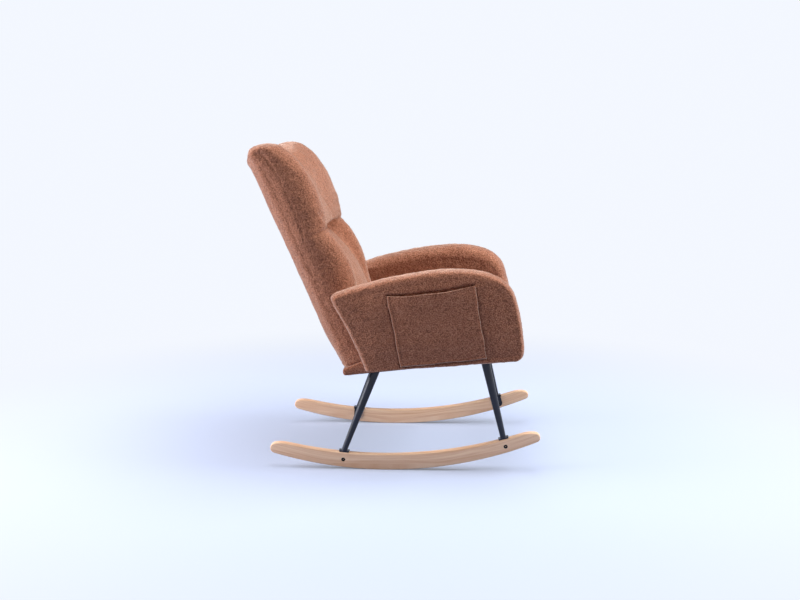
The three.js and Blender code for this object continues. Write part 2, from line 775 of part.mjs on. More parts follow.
// A closed ring round a rectangle with round corners, whose sides bow out, or in where bow is negative
function cushionRing(box, inset, bow, shrink, z) {
  const halfX = box.halfX - inset;
  const halfY = (box.rear - box.front) / 2 - inset;
  const corner = Math.max(cushionCorner - inset, cushionCorner / 3);
  const middle = (box.rear + box.front) / 2;
  const cornerSteps = 4;
  const sideShares = [0.6, 0.2, -0.2, -0.6];
  const ring = [];
  for (let quarter = 0; quarter < 4; quarter += 1) {
    const signX = quarter === 0 || quarter === 3 ? 1 : -1;
    const signY = quarter < 2 ? 1 : -1;
    for (let i = 0; i <= cornerSteps; i += 1) {
      const angle = (quarter + i / cornerSteps) * Math.PI / 2;
      const x = signX * (halfX - corner) + corner * Math.cos(angle);
      const y = signY * (halfY - corner) + corner * Math.sin(angle);
      ring.push([x, y]);
    }
    for (const share of sideShares) {
      const out = bow * (1 - share ** 2);
      const turn = quarter === 0 || quarter === 3 ? 1 : -1;
      const alongX = quarter % 2 === 0;
      if (alongX) ring.push([turn * share * (halfX - corner), signY * (halfY + out)]);
      else ring.push([signX * (halfX + out), turn * -share * (halfY - corner)]);
    }
  }
  return ring.map(([x, y]) => new THREE.Vector3(x * shrink, middle + y * shrink, z));
}

// Rows: height share, inset share, bow share and how far the ring has shrunk towards the crown
const cushionShares = [
  [0, 0.4, -0.6, 1], [0.1, 0.12, 0, 1], [0.32, 0, 0.9, 1], [0.55, 0, 0.9, 1], [0.74, 0.14, 0.2, 1],
  [0.86, 0.5, -0.6, 1], [0.92, 1, -1, 1], [0.97, 1, -0.8, 0.8], [1, 1, 0, 0.42],
];

function seatCushionGeometry() {
  const bottom = frameTop + touch;
  const padDepth = (coverDepth + lowerPadDepth + softGap) / Math.cos(backRake);
  const rings = cushionShares.map(([height, inset, bow, shrink]) => {
    const z = bottom + height * cushionHeight;
    const box = {
      halfX: armInnerX - softGap - cushionBow,
      front: -seatFrontReach - cushionFrontSwell + cushionBow,
      rear: backFootSetback - padDepth + (z - backFootRise) * Math.tan(backRake) - cushionBow,
    };
    return cushionRing(box, inset * cushionEdgeInset, bow * cushionBow, shrink, z);
  });
  return loft(rings, flatCap);
}

// Arms: the outline seen from the side, as shares of the arm's length and height from its rear foot
const armRearShares = [[0, 0], [0.167, 0.74]];
const armRearCornerShares = [[0.187, 0.835], [0.132, 0.888]];
const armTopShares = [[-0.132, 0.993], [-0.471, 1]];
const armFrontShares = [[-0.724, 1], [-0.965, 0.919], [-0.985, 0.579]];
const armFrontEdgeShares = [[-1.004, 0.351], [-1, 0.158]];
const armToeShares = [[-0.998, 0], [-0.921, 0]];

function armOutline(inset, foot) {
  const length = armLength - 2 * inset;
  const height = armHeight - inset - foot;
  const at = ([along, up]) => [along * length - inset, foot + up * height];
  const outline = new THREE.Shape();
  outline.moveTo(...at(armRearShares[0]));
  outline.lineTo(...at(armRearShares[1]));
  outline.quadraticCurveTo(...armRearCornerShares.flatMap(at));
  outline.quadraticCurveTo(...armTopShares.flatMap(at));
  outline.bezierCurveTo(...armFrontShares.flatMap(at));
  outline.quadraticCurveTo(...armFrontEdgeShares.flatMap(at));
  outline.quadraticCurveTo(...armToeShares.flatMap(at));
  return outline;
}

function armBoardGeometry() {
  const outline = armOutline(armBoardInset, armBoardFoot);
  const board = sidePanel(outline, boardInnerX, boardOuterX, { curveSegments: 4 });
  return cut(board, armBoltHoles(boardInnerX - overrun, boardOuterX + overrun));
}

function armCoverGeometry() {
  const edge = { thickness: armEdgeThickness, inset: armEdgeInset, segments: 3, curveSegments: 7 };
  const pad = sidePanel(armOutline(0, 0), armInnerX, armInnerX + armThickness, edge);
  const outline = armOutline(armBoardInset - touch, armBoardFoot - touch);
  const slotFrom = boardInnerX - touch;
  const slotTo = boardOuterX + touch;
  const slot = sidePanel(outline, slotFrom, slotTo, { curveSegments: 4 });
  const toe = armToeShares[1][0] * (armLength - 2 * armBoardInset) - armBoardInset;
  const mouth = block(slotFrom, slotTo, toe, touch - armBoardInset, -overrun, armBoardFoot);
  return cut(pad, [slot, mouth, ...armBoltHoles(armInnerX - overrun, boardInnerX)]);
}

function armBoltGeometry() {
  const seatX = frameHalfWidth - railThickness - touch;
  const profile = [
    [0, seatX - armBoltHeadHeight],
    [armBoltHead / 3, seatX - armBoltHeadHeight],
    [armBoltHead / 2, seatX - armBoltHeadHeight / 2],
    [armBoltHead / 2, seatX],
    [armBoltDiameter / 2, seatX],
    [armBoltDiameter / 2, boardOuterX],
    [0, boardOuterX],
  ].map(([radius, along]) => new THREE.Vector2(radius, along));
  const bolt = new THREE.LatheGeometry(profile, smallSides).rotateZ(-Math.PI / 2);
  const socketEnd = seatX - armBoltHeadHeight / 3;
  return cut(bolt, [rodX(socketEnd - overrun, socketEnd, 0, 0, armBoltHead / 3, screwSides)]);
}

// Side pocket: a patch sewn down its two sides and its hem, standing off the arm at its mouth
function pocketOutline(inset, top) {
  const rearTop = pocketRearTop - inset;
  const frontTop = pocketFrontTop + inset;
  const hem = pocketHem + inset;
  const outline = new THREE.Shape();
  outline.moveTo(pocketRearFoot - inset, hem);
  outline.lineTo(rearTop, top);
  outline.quadraticCurveTo((rearTop + frontTop) / 2, top - 2 * pocketMouthSag, frontTop, top);
  outline.lineTo(pocketFrontFoot + inset, hem);
  return outline;
}

function leaning(geometry, fromX) {
  const position = geometry.getAttribute('position');
  for (let i = 0; i < position.count; i += 1) {
    const share = (position.getZ(i) - pocketHem) / (pocketMouthHeight - pocketHem);
    if (position.getX(i) > fromX) position.setX(i, position.getX(i) + pocketGape * share);
  }
  return geometry;
}

function pocketGeometry() {
  const back = armInnerX + armThickness + touch;
  const smooth = { curveSegments: 6 };
  const patch = sidePanel(pocketOutline(0, pocketMouthHeight), back, back + pocketPanel, smooth);
  const top = pocketMouthHeight + overrun;
  const room = sidePanel(pocketOutline(pocketWall, top), back - overrun, back, smooth);
  return cut(leaning(patch, back + pocketPanel / 2), [leaning(room, back - overrun / 2)]);
}

function addArms(seat) {
  const cover = armCoverGeometry();
  const board = armBoardGeometry();
  const bolt = armBoltGeometry();
  const pocket = pocketGeometry();
  for (const [sideName, side] of sides) {
    seat.add(named(`arm_cover_${sideName}`, onSide(cover, side), teddy));
    seat.add(named(`arm_board_${sideName}`, onSide(board, side), softwood));
    seat.add(named(`arm_pocket_${sideName}`, onSide(pocket, side), teddy));
    for (const [endName, place] of [['front', frontArmBoltPlace], ['rear', rearArmBoltPlace]]) {
      const mesh = named(`arm_bolt_${endName}_${sideName}`, onSide(bolt, side), zincSteel);
      mesh.position.set(0, place, armBoltHeight);
      seat.add(mesh);
    }
  }
}

// Back frame, in the back's own frame: Y is depth, positive to the rear, and Z is height up the back
const stileRear = stileDepth - stileFront;

function stileBlock(grow) {
  const foot = -stileFootDrop - grow;
  const front = -stileFront - grow;
  return block(stileInner - grow, stileOuter + grow, front, stileRear + grow, foot, stileTop + grow);
}

function backRailBlock(height, grow) {
  const half = stileInner - touch;
  const rear = backRailDepth - backRailFront;
  const rise = backRailHeight / 2 + grow;
  return block(-half, half, -backRailFront - grow, rear + grow, height - rise, height + rise);
}

function strapBlock(height, grow) {
  const half = stileInner + strapLap + grow;
  const rear = -stileFront - touch + grow;
  const rise = strapWidth / 2 + grow;
  return block(-half, half, rear - strapThickness - 2 * grow, rear, height - rise, height + rise);
}

// Bent steel bracket that stands on the rear leg rail and runs up the front of a stile
function backBracketProfile(grow) {
  const floor = frameBottom + legRailHeight + touch - grow;
  const top = floor + backBracketThickness + 2 * grow;
  const rear = -stileFront - touch + grow;
  const front = rear - backBracketThickness - 2 * grow;
  const heightAt = (depth, z) => (z - backFootRise + depth * Math.sin(backRake)) / Math.cos(backRake);
  const rearCorner = backToSeat(rear, heightAt(rear, floor));
  const frontCorner = backToSeat(front, heightAt(front, top));
  const rearTop = backToSeat(rear, backBracketRise + grow);
  const frontTop = backToSeat(front, backBracketRise + grow);
  const toe = rearCorner.y - backBracketFoot - grow;
  return [
    [toe, floor],
    [rearCorner.y, floor],
    [rearTop.y, rearTop.z],
    [frontTop.y, frontTop.z],
    [frontCorner.y, top],
    [toe, top],
  ];
}

function backBracketBody(grow) {
  const outline = new THREE.Shape(backBracketProfile(grow).map(([y, z]) => new THREE.Vector2(y, z)));
  const half = backBracketWidth / 2 + grow;
  return sidePanel(outline, stileMiddle - half, stileMiddle + half);
}

// Screws of that bracket: down into the leg rail, and back into the stile
function footScrew(place, diameter, length, from) {
  const [toeY, floor] = backBracketProfile(0)[0];
  return rodZ(stileMiddle, toeY + place, floor - length, floor + from, diameter, screwSides);
}

function stileScrew(height, diameter, length, from) {
  const face = -stileFront - touch;
  const screw = new THREE.CylinderGeometry(diameter / 2, diameter / 2, length + from, screwSides);
  return screw.translate(stileMiddle, face + (length - from) / 2, height);
}

function backBracketFootHoles() {
  const room = roomFor(backScrewDiameter, touch, screwSides);
  const holes = backScrewPlaces.map((place) => footScrew(place, room, backScrewLength + touch, 0));
  return [...holes, ...holes.map(mirrored)];
}

function backBracketGeometry() {
  const headTop = backBracketThickness + backScrewHeadHeight;
  const middle = backBracketThickness / 2;
  const inRail = backScrewPlaces.flatMap((place) => [
    footScrew(place, backScrewDiameter, backScrewLength, middle),
    footScrew(place, backScrewHead, -middle, headTop),
  ]);
  const inStile = backScrewHeights.flatMap((height) => [
    stileScrew(height, backScrewDiameter, backScrewLength, middle),
    stileScrew(height, backScrewHead, -middle, headTop),
  ]);
  for (const screw of inStile) screw.rotateX(-backRake).translate(0, backFootSetback, backFootRise);
  return join([backBracketBody(0), ...inRail, ...inStile]);
}

function addBackFrame(back) {
  const room = roomFor(backScrewDiameter, touch, screwSides);
  const holes = backScrewHeights.map((height) => {
    return stileScrew(height, room, backScrewLength + touch, overrun);
  });
  const stile = cut(stileBlock(0), holes);
  for (const [sideName, side] of sides) {
    back.add(named(`back_stile_${sideName}`, onSide(stile, side), softwood));
  }
  ['bottom', 'middle', 'top'].forEach((name, i) => {
    back.add(named(`back_rail_${name}`, backRailBlock(backRailHeights[i], 0), softwood));
  });
  strapHeights.forEach((height, i) => {
    back.add(named(`back_strap_${i + 1}`, strapBlock(height, 0), webbing));
  });
}

// Everything inside the back's upholstery, grown by the touch clearance, as cutters
function backRoom() {
  const stile = stileBlock(touch);
  const bracket = backBracketBody(touch)
    .translate(0, -backFootSetback, -backFootRise)
    .rotateX(backRake);
  const heads = backScrewHeights.map((height) => {
    const room = roomFor(backScrewHead, touch, screwSides);
    return stileScrew(height, room, 0, backBracketThickness + backScrewHeadHeight + touch);
  });
  const paired = [stile, bracket, ...heads];
  const rails = backRailHeights.map((height) => backRailBlock(height, touch));
  const straps = strapHeights.map((height) => strapBlock(height, touch));
  return [...paired, ...paired.map(mirrored), ...rails, ...straps];
}

// Half sections of the back's pads, from the rear edge over the wing to the middle. Rows hold shares:
// half width, depth at the wing, how much of the dish, and how much of the drop at the crown
const padSectionShares = [
  [0.955, 0, 0, 1], [0.985, 0.18, 0, 0.95], [1, 0.42, 0, 0.9], [0.993, 0.66, 0, 0.7], [0.97, 0.85, 0, 0.42],
  [0.933, 0.96, 0, 0.18], [0.885, 1, 0, 0.04], [0.83, 1, 0.12, 0], [0.74, 1, 0.38, 0.05],
  [0.62, 1, 0.66, 0.22], [0.46, 1, 0.88, 0.55], [0.24, 1, 0.98, 0.88], [0, 1, 1, 1],
];
const padRearShares = [
  [0.9, 0.25], [0.86, 0.03], [0.74, 0.05], [0.62, 0.22], [0.46, 0.55], [0.24, 0.88], [0, 1],
];

// Rows up a pad, as shares of its height: place, depth, width, dish, rear shift, crown drop
const upperPadShares = [
  [0, 0.79, 0.985, 0.18, 0, 0], [0.03, 0.855, 0.99, 0.2, 0, 0], [0.07, 0.89, 0.995, 0.23, 0, 0],
  [0.14, 0.945, 1, 0.27, 0, 0], [0.25, 0.99, 1, 0.3, 0, 0], [0.4, 1, 1, 0.31, 0, 0.05],
  [0.545, 0.984, 1, 0.31, 0, 0.2], [0.685, 0.913, 1, 0.3, 0, 0.45], [0.785, 0.8, 0.995, 0.28, 0, 0.65],
  [0.885, 0.643, 0.99, 0.24, 0, 0.85], [0.955, 0.508, 0.98, 0.18, 0, 0.95],
  [0.99, 0.37, 0.96, 0.1, 0.13, 1], [1, 0.28, 0.93, 0.05, 0.19, 1],
];
const lowerPadShares = [
  [0, 0.8, 0.97, -0.04, 0, 0], [0.03, 0.85, 0.98, -0.04, 0, 0], [0.2, 0.89, 0.99, -0.05, 0, 0],
  [0.44, 0.93, 1, -0.06, 0, 0], [0.57, 0.975, 1, -0.02, 0, 0], [0.7, 1, 1, 0.06, 0, 0],
  [0.8, 0.995, 1, 0.1, 0, 0], [0.88, 0.955, 1, 0.15, 0, 0], [0.94, 0.905, 0.995, 0.18, 0, 0],
  [0.975, 0.865, 0.99, 0.19, 0, 0], [1, 0.8, 0.985, 0.18, 0, 0],
];

function padRing(row, foot, height, depth) {
  const [place, deep, wide, dish, shift, drop] = row;
  const rear = -coverDepth - touch;
  const levelAt = (dropShare) => foot + place * height - crownDip * drop * dropShare;
  const half = padSectionShares.map(([across, outward, dishShare, dropShare]) => {
    const start = shift * depth;
    const reach = start + (deep * depth * (1 - dish * dishShare) - start) * outward;
    return new THREE.Vector3(across * wide * backWidth / 2, rear - reach, levelAt(dropShare));
  });
  const rearHalf = padRearShares.map(([across, dropShare]) => {
    return new THREE.Vector3(across * wide * backWidth / 2, rear - shift * depth, levelAt(dropShare));
  });
  const flip = (points) => points.map((p) => new THREE.Vector3(-p.x, p.y, p.z));
  const front = [...half, ...flip(half.slice(0, -1)).reverse()];
  const behind = [...flip(rearHalf.slice(0, -1)), ...rearHalf.slice().reverse()];
  return [...front, ...behind];
}

function padGeometry(rows, foot, height, depth) {
  const rings = rows.map((row) => padRing(row, foot, height, depth));
  const pad = loft(rings, stripCap(2 * padSectionShares.length - 2));
  return cut(pad, backRoom());
}

// Rear cover of the back: half section shares of width and depth, and rows of height, depth, crown drop
const coverSectionShares = [
  [0.955, 0, 1], [0.955, 0.3, 1], [0.945, 0.62, 0.9], [0.915, 0.85, 0.4], [0.86, 0.96, 0.03],
  [0.74, 1, 0.05], [0.62, 1, 0.22], [0.46, 1, 0.55], [0.24, 1, 0.88], [0, 1, 1],
];
const coverShares = [
  [0, 0.86, 0.97, 0], [0.03, 0.95, 0.98, 0], [0.2, 1, 0.99, 0], [0.45, 1, 1, 0], [0.72, 1, 1, 0.05],
  [0.84, 1, 1, 0.45], [0.92, 0.99, 0.99, 0.8], [0.953, 0.87, 0.975, 0.9], [0.968, 0.6, 0.965, 0.95],
  [0.977, 0.3, 0.958, 0.95], [0.981, 0.1, 0.955, 0.95],
];

function coverRing([place, deep, wide, drop]) {
  const front = -coverDepth;
  const level = place * (backHeight + backFootDrop) - backFootDrop;
  const levelAt = (dropShare) => level - crownDip * drop * dropShare;
  const depth = deep * (coverDepth + coverSwell);
  const half = coverSectionShares.map(([across, outward, dropShare]) => {
    return new THREE.Vector3(across * wide * backWidth / 2, front + depth * outward, levelAt(dropShare));
  });
  const frontHalf = padRearShares.map(([across, dropShare]) => {
    return new THREE.Vector3(across * wide * backWidth / 2, front, levelAt(dropShare));
  });
  const flip = (points) => points.map((p) => new THREE.Vector3(-p.x, p.y, p.z));
  const behind = [...half, ...flip(half.slice(0, -1)).reverse()];
  const ahead = [...flip(frontHalf.slice(0, -1)), ...frontHalf.slice().reverse()];
  return [...behind, ...ahead];
}

function addBackUpholstery(back) {
  const crease = creaseGap / 2;
  const lowerHeight = creaseHeight - crease + backFootDrop;
  const lower = padGeometry(lowerPadShares, -backFootDrop, lowerHeight, lowerPadDepth);
  const upperFoot = creaseHeight + crease;
  const upper = padGeometry(upperPadShares, upperFoot, backHeight - upperFoot, upperPadDepth);
  back.add(named('back_pad_lower', lower, teddy));
  back.add(named('back_pad_upper', upper, teddy));
  const cover = loft(coverShares.map(coverRing), stripCap(2 * coverSectionShares.length - 2));
  back.add(named('back_cover', cut(cover, backRoom()), teddy));
}

// The whole chair, set so that its box is centred over the origin and it stands at Z 0
function buildChair() {
  const chair = new THREE.Group();
  addUndercarriage(chair);
  const seat = seatFrame();
  addSeatFrame(seat);
  addSeatUnderside(seat);
  addSprings(seat);
  seat.add(named('seat_border', seatBorderGeometry(), teddy));
  seat.add(named('seat_cushion', seatCushionGeometry(), teddy));
  addArms(seat);
  const bracket = backBracketGeometry();
  for (const [sideName, side] of sides) {
    seat.add(named(`back_bracket_${sideName}`, onSide(bracket, side), blackSteel));
  }
  const back = new THREE.Group();
  back.position.set(0, backFootSetback, backFootRise);
  back.rotation.x = -backRake;
  addBackFrame(back);
  addBackUpholstery(back);
  seat.add(back);
  chair.add(seat);
  chair.updateMatrixWorld(true);
  const box = new THREE.Box3().setFromObject(chair, true);
  const middle = box.getCenter(new THREE.Vector3());
  chair.position.set(-middle.x, -middle.y, -box.min.z);
  return chair;
}

const whole = new THREE.Group();
whole.add(buildChair());

export default whole;
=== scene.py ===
"""Looks of a rocking armchair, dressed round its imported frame.

Metres, +Z up. The chair faces -Y. Left is +X and right is -X, the side that the camera looks at.
"""

import json
import logging
import math
from collections.abc import Callable, Iterable, Iterator, Sequence
from contextlib import contextmanager
from dataclasses import dataclass
from enum import Enum

import bmesh
import bpy
import numpy as np
from mathutils import Matrix, Vector
from mathutils.bvhtree import BVHTree
from mathutils.kdtree import KDTree

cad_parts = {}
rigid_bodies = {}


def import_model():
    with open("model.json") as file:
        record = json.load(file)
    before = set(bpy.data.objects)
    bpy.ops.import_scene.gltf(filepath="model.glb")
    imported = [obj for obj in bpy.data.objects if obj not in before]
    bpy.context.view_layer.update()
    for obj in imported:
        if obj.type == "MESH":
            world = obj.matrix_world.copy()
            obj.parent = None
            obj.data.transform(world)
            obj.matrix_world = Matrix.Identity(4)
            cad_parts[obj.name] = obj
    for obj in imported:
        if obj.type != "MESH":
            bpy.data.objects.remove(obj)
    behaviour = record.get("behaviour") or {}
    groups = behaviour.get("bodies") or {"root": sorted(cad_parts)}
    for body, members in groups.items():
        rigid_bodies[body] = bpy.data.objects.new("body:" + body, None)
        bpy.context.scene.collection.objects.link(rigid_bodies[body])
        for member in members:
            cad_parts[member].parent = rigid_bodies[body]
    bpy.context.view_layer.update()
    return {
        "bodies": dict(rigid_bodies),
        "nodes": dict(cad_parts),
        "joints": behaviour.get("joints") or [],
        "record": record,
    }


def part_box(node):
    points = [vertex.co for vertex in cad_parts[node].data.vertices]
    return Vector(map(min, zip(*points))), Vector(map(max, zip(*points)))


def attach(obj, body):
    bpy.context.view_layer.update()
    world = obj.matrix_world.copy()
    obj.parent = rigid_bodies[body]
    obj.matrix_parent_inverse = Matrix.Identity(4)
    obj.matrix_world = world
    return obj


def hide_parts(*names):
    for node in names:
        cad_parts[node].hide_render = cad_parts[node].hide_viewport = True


LOG = logging.getLogger("rocking_armchair")
BODY = "root"
TINY = 1e-7
X_AXIS = Vector((1.0, 0.0, 0.0))
Y_AXIS = Vector((0.0, 1.0, 0.0))
Z_AXIS = Vector((0.0, 0.0, 1.0))
Pair = tuple[float, float]
Colour = tuple[float, float, float]


class Side(Enum):
    """A side of the chair, as the person seated has it."""

    LEFT = "left"
    RIGHT = "right"

    @property
    def sign(self) -> float:
        """Direction of this side along X."""
        return 1.0 if self is Side.LEFT else -1.0


class End(Enum):
    """An end of the chair."""

    FRONT = "front"
    REAR = "rear"


@dataclass(frozen=True)
class Profile:
    """A smooth curve through a few rows of place and value, without overshoot."""

    rows: tuple[Pair, ...]

    def at(self, places: np.ndarray) -> np.ndarray:
        """Values of the curve.

        Args:
            places: Where to read the curve; past its ends the end values hold.

        Returns:
            One value for each place.
        """
        x, y = np.array(self.rows, float).T
        step = np.diff(x)
        slope = np.diff(y) / step
        before, after = slope[:-1], slope[1:]
        same = before * after > 0
        total = np.where(same, before + after, 1.0)
        inner = np.where(same, 2 * before * after / total, 0.0)
        tangent = np.concatenate([slope[:1], inner, slope[-1:]])
        i = np.clip(np.searchsorted(x, places) - 1, 0, len(step) - 1)
        t = np.clip((places - x[i]) / step[i], 0, 1)
        start = (2 * t**3 - 3 * t**2 + 1) * y[i] + (t**3 - 2 * t**2 + t) * step[i] * tangent[i]
        end = (3 * t**2 - 2 * t**3) * y[i + 1] + (t**3 - t**2) * step[i] * tangent[i + 1]
        return start + end


def smooth_step(low: float, high: float, values: np.ndarray) -> np.ndarray:
    """Values eased from 0 at low to 1 at high.

    Args:
        low: Where the result is 0.
        high: Where the result is 1; it may be less than low.
        values: What is eased.

    Returns:
        Shares from 0 to 1.
    """
    t = np.clip((values - low) / (high - low), 0, 1)
    return t * t * (3 - 2 * t)


def read_rows(items: bpy.types.bpy_prop_collection, attribute: str) -> np.ndarray:
    """One attribute of every item of a collection, as rows of three numbers.

    Args:
        items: The collection, such as a mesh's vertices.
        attribute: The attribute's name.

    Returns:
        One row for each item.
    """
    rows = np.empty(3 * len(items))
    items.foreach_get(attribute, rows)
    return rows.reshape(-1, 3)


def read_points(mesh: bpy.types.Mesh) -> np.ndarray:
    """A mesh's vertices as rows."""
    return read_rows(mesh.vertices, "co")


def read_normals(mesh: bpy.types.Mesh) -> np.ndarray:
    """A mesh's vertex normals as rows."""
    return read_rows(mesh.vertex_normals, "vector")


def write_points(mesh: bpy.types.Mesh, points: np.ndarray) -> None:
    """Moves a mesh's vertices to the rows of an array."""
    mesh.vertices.foreach_set("co", points.astype(np.float32).ravel())
    mesh.update()


def placed(points: np.ndarray, matrix: Matrix) -> np.ndarray:
    """Points as rows, moved by a matrix."""
    m = np.array(matrix)
    return points @ m[:3, :3].T + m[:3, 3]


def grid_box(size: Vector, cell: float) -> bmesh.types.BMesh:
    """A box about the origin whose faces are grids of even cells.

    Args:
        size: Its lengths along X, Y and Z.
        cell: About how long a cell is.

    Returns:
        The box.
    """
    box = bmesh.new()
    bmesh.ops.create_cube(box, size=1.0)
    bmesh.ops.scale(box, vec=size, verts=box.verts)
    for axis in range(3):
        along = [e for e in box.edges if abs((e.verts[0].co - e.verts[1].co)[axis]) > TINY]
        cuts = max(0, round(size[axis] / cell) - 1)
        bmesh.ops.subdivide_edges(box, edges=along, cuts=cuts)
    return box


def rounded(points: np.ndarray, half: np.ndarray, radii: np.ndarray) -> np.ndarray:
    """Points of a box drawn in to round edges.

    Args:
        points: Points on the faces of a box about the origin.
        half: Half its lengths.
        radii: How far the rounding reaches along each axis, for each point.

    Returns:
        The points of the rounded box.
    """
    core = np.clip(points, radii - half, half - radii)
    over = (points - core) / radii
    length = np.linalg.norm(over, axis=1, keepdims=True)
    return core + radii * over / np.maximum(length, TINY)


def add_object(name: str, shape: bmesh.types.BMesh | bpy.types.Mesh) -> bpy.types.Object:
    """Puts a shape in the scene as an object at the origin.

    Args:
        name: The object's name.
        shape: A bmesh, which is freed, or a mesh.

    Returns:
        The new object.
    """
    mesh = shape
    if isinstance(shape, bmesh.types.BMesh):
        mesh = bpy.data.meshes.new(name)
        shape.to_mesh(mesh)
        shape.free()
    thing = bpy.data.objects.new(name, mesh)
    bpy.context.scene.collection.objects.link(thing)
    return thing


def bake_modifiers(thing: bpy.types.Object) -> None:
    """Replaces an object's mesh with what its modifiers make of it, and removes them."""
    evaluated = thing.evaluated_get(bpy.context.evaluated_depsgraph_get())
    mesh = bpy.data.meshes.new_from_object(evaluated)
    thing.modifiers.clear()
    old = thing.data
    thing.data = mesh
    bpy.data.meshes.remove(old)


def remesh(thing: bpy.types.Object, voxel: float) -> None:
    """Gives an object an even mesh.

    Args:
        thing: The object.
        voxel: About how long a cell is.
    """
    modifier = thing.modifiers.new("even", "REMESH")
    modifier.mode = "VOXEL"
    modifier.voxel_size = voxel
    bake_modifiers(thing)


def subdivide(thing: bpy.types.Object) -> None:
    """Divides each cell of an object in four and smooths them.

    Args:
        thing: The object.
    """
    modifier = thing.modifiers.new("finer", "SUBSURF")
    modifier.levels = modifier.render_levels = 1
    bake_modifiers(thing)


@contextmanager
def edited(thing: bpy.types.Object) -> Iterator[bmesh.types.BMesh]:
    """Lends an object's mesh as a shape, and stores the shape again.

    Args:
        thing: The object.

    Yields:
        The shape.
    """
    shape = bmesh.new()
    shape.from_mesh(thing.data)
    yield shape
    shape.to_mesh(thing.data)
    shape.free()


def relax(thing: bpy.types.Object, rounds: int) -> None:
    """Smooths an object's vertices.

    Args:
        thing: The object.
        rounds: How many times.
    """
    axes = {f"use_axis_{axis}": True for axis in "xyz"}
    with edited(thing) as shape:
        for _ in range(rounds):
            bmesh.ops.smooth_vert(shape, verts=shape.verts, factor=0.5, **axes)


def face_out(thing: bpy.types.Object) -> None:
    """Turns an object's faces outwards."""
    with edited(thing) as shape:
        bmesh.ops.recalc_face_normals(shape, faces=shape.faces)


def shade(thing: bpy.types.Object, sharp_angle: float = math.pi) -> None:
    """Shades an object smooth, apart from its edges past an angle.

    Args:
        thing: The object.
        sharp_angle: The least angle between two faces that stays sharp.
    """
    with edited(thing) as shape:
        for face in shape.faces:
            face.smooth = True
        for edge in shape.edges:
            edge.smooth = edge.calc_face_angle(0.0) < sharp_angle


def bevel_all(shape: bmesh.types.BMesh, edges: Sequence, width: float, segments: int) -> None:
    """Rounds edges of a shape.

    Args:
        shape: The shape.
        edges: Its edges that are rounded.
        width: How far the rounding reaches from the edge.
        segments: How many faces cross it.
    """
    bmesh.ops.bevel(
        shape, geom=list(edges), offset=width, offset_type="OFFSET", segments=segments,
        profile=0.5, affect="EDGES", material=-1, clamp_overlap=True,
    )


def sheet_of(outline: Iterable[Pair], to_space: Callable) -> bmesh.types.BMesh:
    """A flat face with an outline.

    Args:
        outline: Its corners in two numbers, in order.
        to_space: Turns two numbers into a point.

    Returns:
        A shape of that one face.
    """
    shape = bmesh.new()
    corners = [shape.verts.new(to_space(a, b)) for a, b in outline]
    shape.faces.new(corners)
    return shape


def thicken(shape: bmesh.types.BMesh, way: Vector) -> None:
    """Makes a flat shape solid by extruding it.

    Args:
        shape: The shape.
        way: How far and in which direction.
    """
    made = bmesh.ops.extrude_face_region(shape, geom=list(shape.faces))["geom"]
    verts = [g for g in made if isinstance(g, bmesh.types.BMVert)]
    bmesh.ops.translate(shape, verts=verts, vec=way)
    bmesh.ops.recalc_face_normals(shape, faces=shape.faces)


def spun(shape: bmesh.types.BMesh, verts: list, edges: list, axis: Vector, steps: int) -> None:
    """Turns a wire about an axis through the origin into a closed skin.

    Args:
        shape: The shape that holds the wire.
        verts: The wire's vertices.
        edges: Its edges.
        axis: The axis.
        steps: How many steps go round.
    """
    wire = verts + edges
    bmesh.ops.spin(
        shape, geom=wire, cent=(0, 0, 0), axis=axis, angle=math.tau, steps=steps, use_merge=True
    )
    bmesh.ops.remove_doubles(shape, verts=shape.verts, dist=TINY)


def turned(profile: Sequence[Pair], steps: int) -> bmesh.types.BMesh:
    """A closed solid turned about the X axis.

    Args:
        profile: Rows of radius and place along X, from the axis and back to it.
        steps: How many steps go round.

    Returns:
        The solid.
    """
    shape = bmesh.new()
    verts = [shape.verts.new((along, 0.0, radius)) for radius, along in profile]
    edges = [shape.edges.new(pair) for pair in zip(verts, verts[1:])]
    spun(shape, verts, edges, X_AXIS, steps)
    bmesh.ops.recalc_face_normals(shape, faces=shape.faces)
    return shape


def add_boolean(thing: bpy.types.Object, operation: str, tool: bpy.types.Object) -> None:
    """Adds a boolean to an object's modifiers.

    Args:
        thing: The object.
        operation: Blender's name of the operation.
        tool: The object that cuts or joins it.
    """
    modifier = thing.modifiers.new("boolean", "BOOLEAN")
    modifier.operation = operation
    modifier.solver = "EXACT"
    modifier.object = tool


def combine(thing: bpy.types.Object, operation: str, shapes: Iterable[bmesh.types.BMesh]) -> None:
    """Cuts shapes out of an object, or joins them to it.

    Args:
        thing: The object that is changed.
        operation: DIFFERENCE to cut, UNION to join.
        shapes: Closed shapes, which are used up.
    """
    tools = [add_object("tool", shape) for shape in shapes]
    for tool in tools:
        add_boolean(thing, operation, tool)
    bake_modifiers(thing)
    for tool in tools:
        bpy.data.objects.remove(tool)


def rod(radii: Pair, start: Vector, end: Vector, sides: int) -> bmesh.types.BMesh:
    """A closed round rod between two points.

    Args:
        radii: Its radius at the start and at the end.
        start: Middle of its first end.
        end: Middle of its last end.
        sides: How many sides it has.

    Returns:
        The rod.
    """
    shape = bmesh.new()
    axis = end - start
    turn = axis.to_track_quat("Z", "Y").to_matrix().to_4x4()
    bmesh.ops.create_cone(
        shape, cap_ends=True, segments=sides, radius1=radii[0], radius2=radii[1], depth=axis.length,
        matrix=Matrix.Translation((start + end) / 2) @ turn,
    )
    return shape


